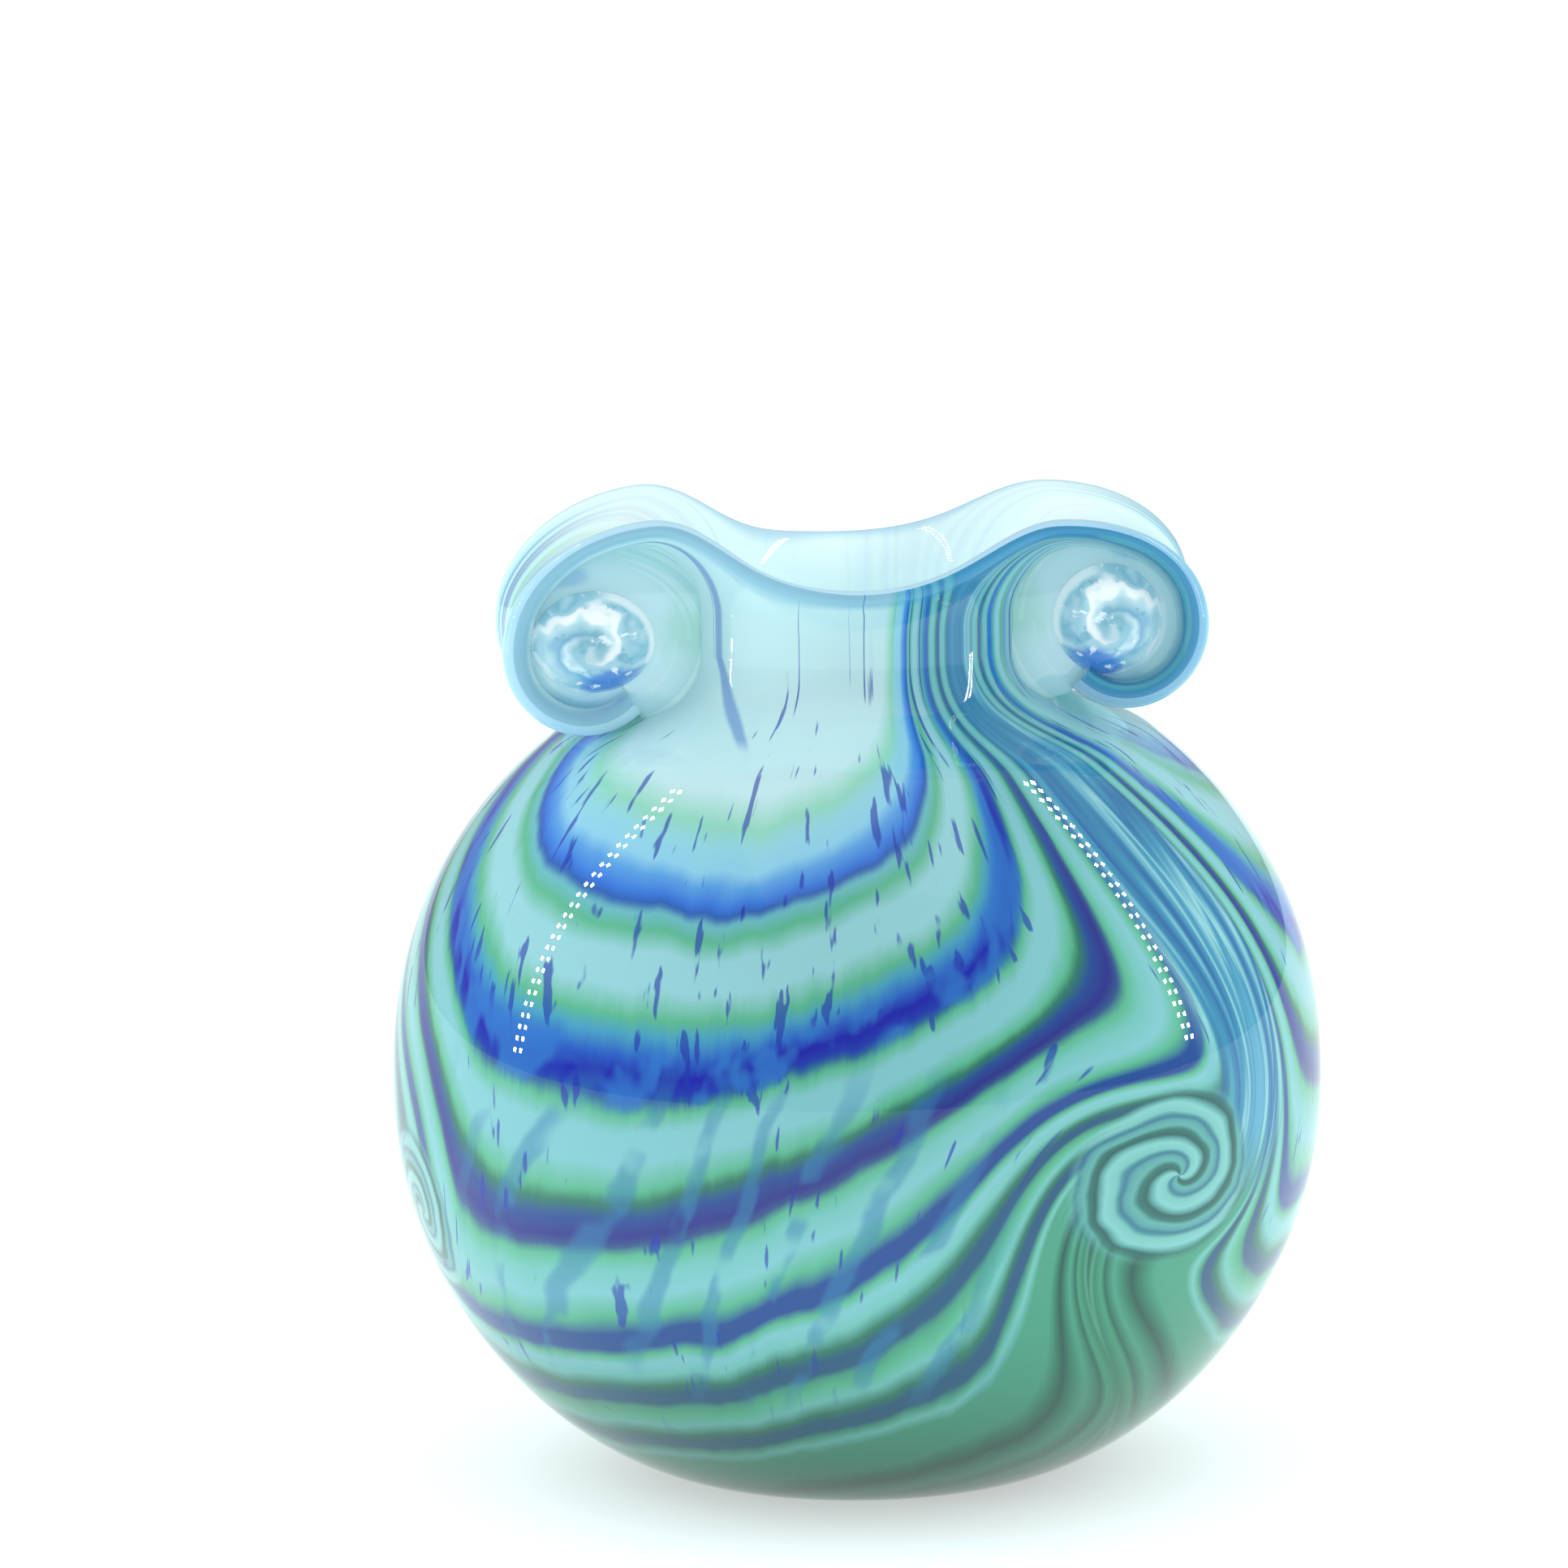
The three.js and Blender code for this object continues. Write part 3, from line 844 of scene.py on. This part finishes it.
# Where the tool drew the glass out, and in the curls, the rings thin to fine threads
THREAD_BLUE = (46, 108, 164)
THREAD_TEAL = (64, 148, 184)
THREAD_SKY = (98, 176, 206)
THREAD_PALE = (152, 214, 220)
THREADS = (
    (-40, THREAD_SKY), (-28, THREAD_TEAL), (-22, THREAD_PALE), (-15, THREAD_TEAL),
    (-9, THREAD_BLUE), (-4, THREAD_SKY), (3, THREAD_TEAL), (7, THREAD_PALE),
    (12, THREAD_TEAL), (17, THREAD_BLUE), (21, THREAD_TEAL), (26, THREAD_PALE),
    (29, (58, 136, 156)), (36, (50, 122, 136)), (40, THREAD_PALE), (43, THREAD_TEAL),
    (47, (40, 104, 112)), (52, THREAD_PALE), (55, THREAD_SKY), (60, (44, 110, 128)),
    (64, THREAD_PALE), (69, THREAD_TEAL), (75, THREAD_BLUE), (79, THREAD_SKY),
    (84, THREAD_PALE), (90, THREAD_TEAL),
)
COIL = (
    (0, (136, 204, 200)), (0.2, (124, 194, 188)), (0.28, (72, 146, 154)),
    (0.34, (58, 122, 150)), (0.42, (88, 162, 164)), (0.56, (100, 176, 170)),
    (0.66, (50, 118, 112)), (0.8, (40, 98, 94)), (0.9, (96, 170, 166)),
    (1, (136, 204, 200)),
)


# Colours laid over the rings
DRAWN_BLUE = (88, 164, 196)
CALM_PALE = (160, 216, 222)
STREAK_BLUE = (50, 128, 178)
FRIT_BLUE = (16, 44, 172)
# painted shade for the lower body
FOOT_SHADE_GREEN = (8, 64, 50)
THIN_TRAIL = (44, 124, 206)
CLIMBING_BLUE = (58, 112, 204)
# the lining's pale colour, brightened as painted light that comes through the walls
LINING_PALE_AND_LIGHT = (228, 249, 251)
RIM_BLUE = (56, 158, 206)

# Noise round the bubble: scale across, scale up the wall, detail and roughness
RAGGED = (0.4, 0.06, 3, 0.6)
BROAD = (0.08, 0.05, 2, 0.5)
UNEVEN = (0.25, 0.012, 2, 0.5)
FRIT = (0.4, 0.11, 2, 0.5)
TRAIL_THICKNESS = (0.13, 0.1, 2, 0.5)
# Noise by place on the finished wall: scale by longitude, scale by height, and a third place
WOBBLE = (0.06, 0.08, 3.0)
BROKEN = (0.09, 0.07, 9.0)

# Where a treatment comes or fades, over each pair: RING pairs are levels in millimetres, UP
# pairs are millimetres up the finished wall, and TURN pairs are longitudes in degrees
FEATHER_RING, FEATHER_FADE_RING = (90, 125), (138, 146)
DRAWN_SHARE = (0.22, 0.42)
THREADS_UP, THREADS_END_RING = (98, 116), (84, 92)
NECK_UP, NECK_FRONT, NECK_BUNDLE_TURN = (168, 190), (0, 0.1), (22, 29)
DRAWN_BLUE_UP = (140, 215)
CALM_UP, CALM_TURN, CALM_END_TURN = (164, 190), (49, 55), (95, 115)
STREAKS_UP, STREAKS_END_UP = (66, 80), (118, 136)
RICH_RING, RICH_END_RING = (118, 124), (158, 168)
FRIT_RING = (60, 90)
SHADE_UP = (30, 100)
TRAIL_RING, TRAIL_END_RING = (120.5, 123), (128, 132)
CLIMB_UP = (188, 193)
LINING_FADE_UP = (LIP_START + 2.4, LIP_START + 6.5)

RAMP_SPLIT = 95  # the level where the low rings' ramp hands over to the high rings' ramp
FEATHER_STEP = 2.2
BROAD_WAVE = 4
THREAD_SCALE, THREAD_SPREAD, THREAD_SHIFT = 0.34, 40, -8
COIL_WOBBLE = 0.9
STREAK_SLANT, STREAK_EVERY, STREAK_WOBBLE = 0.36, 9.5, 0.45
CLIMB_TURN, CLIMB_TOP, CLIMB_SLANT = -57, 216, 0.85

COAT_ROUGHNESS = 0.003
GLASS_IOR = 1.5
# The lining glows faintly, in place of the light that comes through real glass
LINING_GLOW = (0.78, 0.96, 0.97, 1)
LINING_GLOW_STRENGTH = 0.2


def glass_material(name, roughness):
    """A clear coated material, its tree and shader, and the three numbers of "place"."""
    material = bpy.data.materials.new(name)
    material.use_nodes = True
    tree = material.node_tree
    shader = tree.nodes["Principled BSDF"]
    shader.inputs["Roughness"].default_value = roughness
    shader.inputs["IOR"].default_value = GLASS_IOR
    shader.inputs["Coat Weight"].default_value = 1.0
    shader.inputs["Coat Roughness"].default_value = COAT_ROUGHNESS
    place = tree.nodes.new("ShaderNodeAttribute")
    place.attribute_name = "place"
    split = tree.nodes.new("ShaderNodeSeparateXYZ")
    tree.links.new(place.outputs["Vector"], split.inputs[0])
    return material, tree, shader, [Number(tree, out) for out in split.outputs]


def wavy_surface(tree, shader):
    """Low waves, as hot glass keeps from the tools."""
    grain = tree.nodes.new("ShaderNodeTexCoord").outputs["Object"]
    scaled = tree.nodes.new("ShaderNodeVectorMath")
    scaled.operation = "MULTIPLY"
    scaled.inputs[1].default_value = (38, 38, 24)
    tree.links.new(grain, scaled.inputs[0])
    bump = tree.nodes.new("ShaderNodeBump")
    bump.inputs["Strength"].default_value = 0.25
    bump.inputs["Distance"].default_value = 0.0012
    feed(tree, bump.inputs["Height"], noise(tree, scaled.outputs[0], 1.5, 0.4))
    tree.links.new(bump.outputs["Normal"], shader.inputs["Normal"])


def marbled(name, wash):
    """Marbled glass. wash is how far the colours are paled, as on the inside, partly for the pale
    lining and partly as painted light that comes through the walls.
    """
    material, tree, shader, (sine, cosine, height) = glass_material(name, 0.12)
    shader.inputs["Specular IOR Level"].default_value = 0
    longitude = sine.node("ARCTAN2", cosine) * DEGREES
    level, first, drawn, near, spiral = flow(longitude, height)
    turn = first * (1 / DEGREES)
    ring_x, ring_y = sin(turn) * BELLY_RADIUS, cos(turn) * BELLY_RADIUS

    def cloud(kind, up):
        across, rise, detail, roughness = kind
        vector = combine(tree, ring_x * across, ring_y * across, up * rise)
        return noise(tree, vector, detail, roughness)

    def drift(kind):
        along, up, third = kind
        return noise(tree, combine(tree, longitude * along, height * up, third), 2, 0.5)

    def lay(share, shade):
        return mix(tree, share, colour, linear(shade))

    # The tool feathers the rings: small ragged steps that run up the wall
    ragged, broad = cloud(RAGGED, level), cloud(BROAD, level)
    feathered = above(level, *FEATHER_RING) * (1 - above(level, *FEATHER_FADE_RING) * 0.7)
    feathers = (ragged - 0.5) * FEATHER_STEP * feathered
    level = level + feathers + (broad - 0.5) * BROAD_WAVE

    low = ramp(level, LOW_RINGS, LOW_RINGS[0][0], RAMP_SPLIT)
    high = ramp(level, HIGH_RINGS, RAMP_SPLIT, HIGH_RINGS[-1][0])
    upper = above(level, RAMP_SPLIT - 0.1, RAMP_SPLIT + 0.1)
    colour = mix(tree, upper, low, high)

    # Threads, but not on the front of the neck to the left of the bundle
    spread = (cloud(UNEVEN, height) - 0.5) * THREAD_SPREAD + THREAD_SHIFT
    threads = ramp(level * THREAD_SCALE + spread, THREADS, THREADS[0][0], THREADS[-1][0])
    share = above(drawn, *DRAWN_SHARE) * above(height, *THREADS_UP)
    neck = above(height, *NECK_UP) * above(cos(longitude * (1 / DEGREES)), *NECK_FRONT)
    share = share * (1 - neck * (1 - above(longitude, *NECK_BUNDLE_TURN)))
    colour = mix(tree, share * (1 - above(level, *THREADS_END_RING)), colour, threads)
    wobble = drift(WOBBLE)
    coil = ramp((spiral + wobble * COIL_WOBBLE).node("FRACT"), COIL, 0, 1)
    colour = mix(tree, near, colour, coil)
    blue = above(drawn, *DRAWN_SHARE) * above(height, *DRAWN_BLUE_UP)
    colour = lay(blue * 0.35, DRAWN_BLUE)
    calm = above(height, *CALM_UP) * band(longitude, CALM_TURN, CALM_END_TURN)
    colour = lay(calm * 0.8, CALM_PALE)

    # Blue streaks, slanting across the rings
    slant = (longitude - height * STREAK_SLANT) * (1 / STREAK_EVERY) + wobble * STREAK_WOBBLE
    field = above(cos((longitude + 22) * (2.2 / DEGREES)), -0.1, 0.5)
    field = field * band(height, STREAKS_UP, STREAKS_END_UP)
    streak = above(cos(slant * (2 * math.pi)), 0.35, 0.9) * above(drift(BROKEN), 0.4, 0.52)
    colour = lay(streak * field * 0.55, STREAK_BLUE)

    # Cobalt frit drawn into short threads
    rich = band(level, RICH_RING, RICH_END_RING)
    speck = above(cloud(FRIT, level) + rich * 0.05, 0.66, 0.71) * above(level, *FRIT_RING)
    colour = lay(speck * 0.75, FRIT_BLUE)

    # Painted shade: the green is darkened towards the foot, where the lower body is shaded
    colour = lay((1 - above(height, *SHADE_UP)) * 0.8, FOOT_SHADE_GREEN)

    # The cobalt trails are thicker in some places than in others
    thin = 1 - above(cloud(TRAIL_THICKNESS, level + 50), 0.42, 0.56)
    colour = lay(band(level, TRAIL_RING, TRAIL_END_RING) * thin * 0.7, THIN_TRAIL)

    # A thin cobalt thread that climbs the left of the neck
    beside = (longitude - CLIMB_TURN - (CLIMB_TOP - height) * CLIMB_SLANT).node("ABSOLUTE")
    colour = lay((1 - above(beside, 0.7, 2)) * above(height, *CLIMB_UP) * 0.6, CLIMBING_BLUE)

    if wash:
        # Paled towards the opal lining's colour and brightened further, as painted light that
        # comes through the walls
        colour = lay((1 - above(height, *LINING_FADE_UP) * 0.85) * wash, LINING_PALE_AND_LIGHT)
        shader.inputs["Emission Color"].default_value = LINING_GLOW
        shader.inputs["Emission Strength"].default_value = LINING_GLOW_STRENGTH
    rim = tree.nodes.new("ShaderNodeAttribute")
    rim.attribute_name = "edge"
    near_rim = 1 - above(Number(tree, rim.outputs["Fac"]), 0.5, 2.2)
    colour = lay(near_rim * 0.55, RIM_BLUE)
    tree.links.new(colour, shader.inputs["Base Color"])
    wavy_surface(tree, shader)
    return material


# Milky streaks wound round the clear ball, with painted highlight arcs in white at both ends
BALL_STREAKS_AND_HIGHLIGHTS = (
    (0, (252, 255, 255)), (0.09, (250, 254, 255)), (0.15, (172, 214, 226)),
    (0.32, (142, 194, 212)), (0.46, (206, 232, 240)), (0.58, (112, 172, 206)),
    (0.76, (166, 208, 222)), (0.92, (200, 230, 238)), (1, (252, 255, 255)),
)
# Soft spots of colour and a painted highlight, measured in ball radii: middle outwards and
# upwards, flatness, where the spot starts to fade and where it ends, strength, and colour
BALL_SPOTS = (
    ((-0.3, -0.72), 1.4, (0.4, 0.62), 0.85, (40, 112, 208)),
    ((0.02, 0.05), 0.8, (0.2, 0.32), 0.6, (120, 180, 196)),
)
HEART_SPOTS_AND_HIGHLIGHT = (
    ((-1.3, 0.1), 0.6, (0.1, 0.5), 0.45, (120, 202, 172)),
    ((0.5, 1.14), 1.5, (0.2, 0.44), 0.4, (78, 156, 216)),
    # painted highlight above the blue patch
    ((0.5, 1.34), 3.4, (0.3, 0.42), 1, (244, 254, 255)),
    ((0.2, -1.3), 1.2, (0.3, 0.9), 0.6, (84, 168, 208)),
)
# Painted highlights in white, and painted shade in blue, on the clear ball
GLINT_WHITE = (246, 253, 255)
BALL_SHADE_BLUE = (96, 164, 190)
# A painted highlight arc near the edge of the clear ball
HIGHLIGHT_ARC_WHITE = (255, 255, 255)
HIGHLIGHT_ARC_RADIUS, HIGHLIGHT_ARC_TURN = 0.84, 0.42
HEART_PALE = (184, 224, 232)
HEART_GREEN = (158, 212, 218)
HEART_STREAK = (206, 238, 240)


def ball_glass(name, clear):
    """Glass in the middle of a scroll: the clear ball, or the fused pale glass round it. It
    glows faintly, in place of the light that comes through real glass."""
    material, tree, shader, (x, z, y) = glass_material(name, 0.06)
    away = (x * x + z * z).node("SQRT")
    turn = z.node("ARCTAN2", x) * (0.5 / math.pi)
    wobble = noise(tree, combine(tree, x * 1.6, z * 1.6, y * 1.5), 2, 0.5) - 0.5

    def lay(share, shade):
        return mix(tree, share, colour, linear(shade))

    def lay_spots(spots):
        nonlocal colour
        for (at_x, at_z), flat, (fades, ends), strength, shade in spots:
            dx, dz = x - at_x, (z - at_z) * flat
            reach = (dx * dx + dz * dz).node("SQRT") + wobble * 0.5
            colour = lay((1 - above(reach, fades, ends)) * strength, shade)

    if clear:
        highlight_and_shade_noise = noise(tree, combine(tree, x * 3.4, z * 3.4, y * 2), 3, 0.6)
        # Milky streaks and painted highlight arcs, wound round the ball
        wound = (turn + away * 1.3 + wobble * 1.1).node("FRACT")
        colour = ramp(wound, BALL_STREAKS_AND_HIGHLIGHTS, 0, 1)
        lay_spots(BALL_SPOTS)
        # Painted highlights where the noise is high, and painted shade where it is low
        colour = lay(above(highlight_and_shade_noise, 0.6, 0.66) * 0.8, GLINT_WHITE)
        colour = lay((1 - above(highlight_and_shade_noise, 0.33, 0.39)) * 0.6, BALL_SHADE_BLUE)
        # A thick painted highlight arc round one side of the ball
        arc = 1 - above((away - HIGHLIGHT_ARC_RADIUS).node("ABSOLUTE"), 0.05, 0.13)
        arc = arc * above(cos((turn - HIGHLIGHT_ARC_TURN) * (2 * math.pi)), 0.45, 0.75)
        colour = lay(arc, HIGHLIGHT_ARC_WHITE)
    else:
        fine = noise(tree, combine(tree, turn * 2, away * 9, y * 2), 2, 0.5)
        colour = mix(tree, above(away, 1.1, 1.7), linear(HEART_PALE), linear(HEART_GREEN))
        colour = lay(above(fine, 0.52, 0.64) * 0.4, HEART_STREAK)
        lay_spots(HEART_SPOTS_AND_HIGHLIGHT)
    tree.links.new(colour, shader.inputs["Base Color"])
    tree.links.new(colour, shader.inputs["Emission Color"])
    shader.inputs["Emission Strength"].default_value = 0.22 if clear else 0.16
    shader.inputs["Transmission Weight"].default_value = 0.3 if clear else 0.0
    return material


LINING_WASH = 0.82

MARBLED = marbled("marbled_glass", 0)
LINING = marbled("pale_lining_glass", LINING_WASH)
HEART = ball_glass("fused_pale_glass", False)
CLEAR = ball_glass("clear_tip_glass", True)

for name, piece in pieces.items():
    if name.endswith("clear_tip"):
        looks, slot = [CLEAR], "clear_tip_glass"
    elif name.endswith("heart"):
        looks, slot = [HEART], "lip_glass"
    else:
        coloured, pale, slot = PIECES[name]
        looks = [MARBLED, LINING] if coloured and pale else [MARBLED if coloured else LINING]
    for look in looks:
        piece.data.materials.append(look)
    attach(piece, "root")

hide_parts("clear_casing", "cobalt_trail", "green_trail")
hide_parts("lining_bubble")
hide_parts("saddle_lip")
for name in SCROLLS:
    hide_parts(name + "_scroll")
    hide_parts(name + "_scroll_tip")

# ---- Floor, light and camera ----

FLOOR_HALF = 6.0
FLOOR_COLOUR = (0.8, 0.93, 0.95, 1)
FLOOR_GLOW = 0.5

floor_mesh = bpy.data.meshes.new("floor")
corners = [(x * FLOOR_HALF, y * FLOOR_HALF, 0) for x, y in ((-1, -1), (1, -1), (1, 1), (-1, 1))]
floor_mesh.from_pydata(corners, [], [(0, 1, 2, 3)])
floor = bpy.data.objects.new("floor", floor_mesh)
bpy.context.collection.objects.link(floor)
paper = bpy.data.materials.new("pale_floor")
paper.use_nodes = True
inputs = paper.node_tree.nodes["Principled BSDF"].inputs
inputs["Base Color"].default_value = FLOOR_COLOUR
inputs["Roughness"].default_value = 0.9
inputs["Emission Color"].default_value = (1, 1, 1, 1)
inputs["Emission Strength"].default_value = FLOOR_GLOW
floor_mesh.materials.append(paper)

# The room as light on matt surfaces, as the camera sees it, and as the gloss mirrors it
ROOM_LIGHT = ((0.97, 1.0, 1.0, 1), 0.69)
ROOM_SEEN = ((0.985, 1.0, 1.0, 1), 1.0)
ROOM_MIRRORED = ((0.8, 0.8, 0.8, 1), 0.6)

world = bpy.data.worlds.new("studio")
world.use_nodes = True
room = world.node_tree
room.nodes.remove(room.nodes["Background"])


def background(colour, strength):
    made = room.nodes.new("ShaderNodeBackground")
    made.inputs["Color"].default_value = colour
    made.inputs["Strength"].default_value = strength
    return made.outputs[0]


def either(choice, first, second):
    made = room.nodes.new("ShaderNodeMixShader")
    for slot, value in zip(made.inputs, (choice, first, second)):
        room.links.new(value, slot)
    return made.outputs[0]


rays = room.nodes.new("ShaderNodeLightPath").outputs
reflected = room.nodes.new("ShaderNodeMath")
reflected.operation = "GREATER_THAN"
room.links.new(rays["Is Glossy Ray"], reflected.inputs[0])
room.links.new(rays["Is Transmission Ray"], reflected.inputs[1])
seen = either(rays["Is Camera Ray"], background(*ROOM_LIGHT), background(*ROOM_SEEN))
seen = either(reflected.outputs[0], seen, background(*ROOM_MIRRORED))
room.links.new(seen, room.nodes["World Output"].inputs["Surface"])
bpy.context.scene.world = world
bpy.context.scene.view_settings.view_transform = "Standard"


def area_light(name, place, target, size, power):
    """A square lamp that the camera doesn't see."""
    data = bpy.data.lights.new(name, "AREA")
    data.shape = "SQUARE"
    data.size = size
    data.energy = power
    light = bpy.data.objects.new(name, data)
    light.location = place
    light.rotation_euler = (Vector(target) - Vector(place)).to_track_quat("-Z", "Y").to_euler()
    light.visible_camera = False
    bpy.context.collection.objects.link(light)


area_light("top_softbox", place=(0, -0.2, 1.5), target=(0, 0, 0.06), size=1.2, power=1.5)

# The camera circles the belly's middle, and then turns up and to the left of it
CAMERA_DISTANCE = 2.4
CAMERA_ELEVATION = math.radians(11.2)
CAMERA_AZIMUTH = math.radians(-3.5)
CAMERA_ROLL = math.radians(0.7)
TURN_UP = math.radians(1.1459)
TURN_LEFT = math.radians(0.2717)
SENSOR_WIDTH = 36
LENS = 336.3
CLIP_END = 50

data = bpy.data.cameras.new("camera")
data.sensor_width = SENSOR_WIDTH
data.lens = LENS
data.clip_end = CLIP_END
camera = bpy.data.objects.new("camera", data)
bpy.context.collection.objects.link(camera)
pitch = CAMERA_ELEVATION - TURN_UP
spin = Matrix.Rotation(CAMERA_AZIMUTH, 3, "Z")
forward = spin @ Vector((0, math.cos(pitch), -math.sin(pitch)))
up = spin @ Vector((0, math.sin(pitch), math.cos(pitch)))
right = spin @ Vector((1, 0, 0))
rolled_right = right * math.cos(CAMERA_ROLL) - up * math.sin(CAMERA_ROLL)
rolled_up = right * math.sin(CAMERA_ROLL) + up * math.cos(CAMERA_ROLL)
aim = forward * math.cos(TURN_LEFT) - rolled_right * math.sin(TURN_LEFT)
aim_right = rolled_right * math.cos(TURN_LEFT) + forward * math.sin(TURN_LEFT)
back = spin @ Vector((0, -math.cos(CAMERA_ELEVATION), math.sin(CAMERA_ELEVATION)))
place = Vector((0, 0, BELLY_HEIGHT * MM)) + back * CAMERA_DISTANCE
turned = Matrix((aim_right, rolled_up, -aim)).transposed().to_4x4()
camera.matrix_world = Matrix.Translation(place) @ turned
bpy.context.scene.camera = camera

# Two curved strips of small lamps in pairs. Each lamp stands where the glass mirrors it to
# the camera from one place of a line up the wall. low and high are the longitude in degrees
# and the distance up the wall at the line's ends, and bow is how far its middle swings out.
LAMP_LINES = (
    dict(low=(-50, 130), high=(-36.5, 179), bow=-3),
    dict(low=(42, 131), high=(30, 180), bow=1),
)
# Millimetres, with LAMP_WAY as each lamp's distance from the glass, and LAMP_POWER in watts
LAMP_STEP = 1.9
LAMP_APART = 1.35
LAMP_WAY = 250
LAMP_SIZE = 4.4
LAMP_POWER = 0.004
WALL_NORMALS = wall_normals(WALL)


def at_wall(up_wall, columns):
    """Outward and upward part of the wall's points or normals at a distance up the wall."""
    return [np.interp(up_wall - FOOT_RADIUS, WALL_ALONG, columns[:, i]) for i in (0, 1)]


def lamp_pair(line, up_wall):
    """Two lamps side by side for one distance up the wall."""
    (first, low), (last, high) = line["low"], line["high"]
    share = (up_wall - low) / (high - low)
    longitude = first + (last - first) * share + line["bow"] * math.sin(math.pi * share)
    radius, height = at_wall(up_wall, WALL)
    facing = at_wall(up_wall, WALL_NORMALS)
    for way in (-1, 1):
        turn = math.radians(longitude) + way * LAMP_APART / 2 / radius
        out = Vector((math.sin(turn), -math.cos(turn), 0))
        glass = (out * radius + Vector((0, 0, height))) * MM
        normal = (out * facing[0] + Vector((0, 0, facing[1]))).normalized()
        seen_from = (camera.matrix_world.translation - glass).normalized()
        mirrored = normal * (2 * normal.dot(seen_from)) - seen_from
        spot = glass + mirrored * LAMP_WAY * MM
        area_light("lamp", spot, glass, LAMP_SIZE * MM, LAMP_POWER)


for line in LAMP_LINES:
    for up_wall in np.arange(line["low"][1], line["high"][1], LAMP_STEP):
        lamp_pair(line, up_wall)
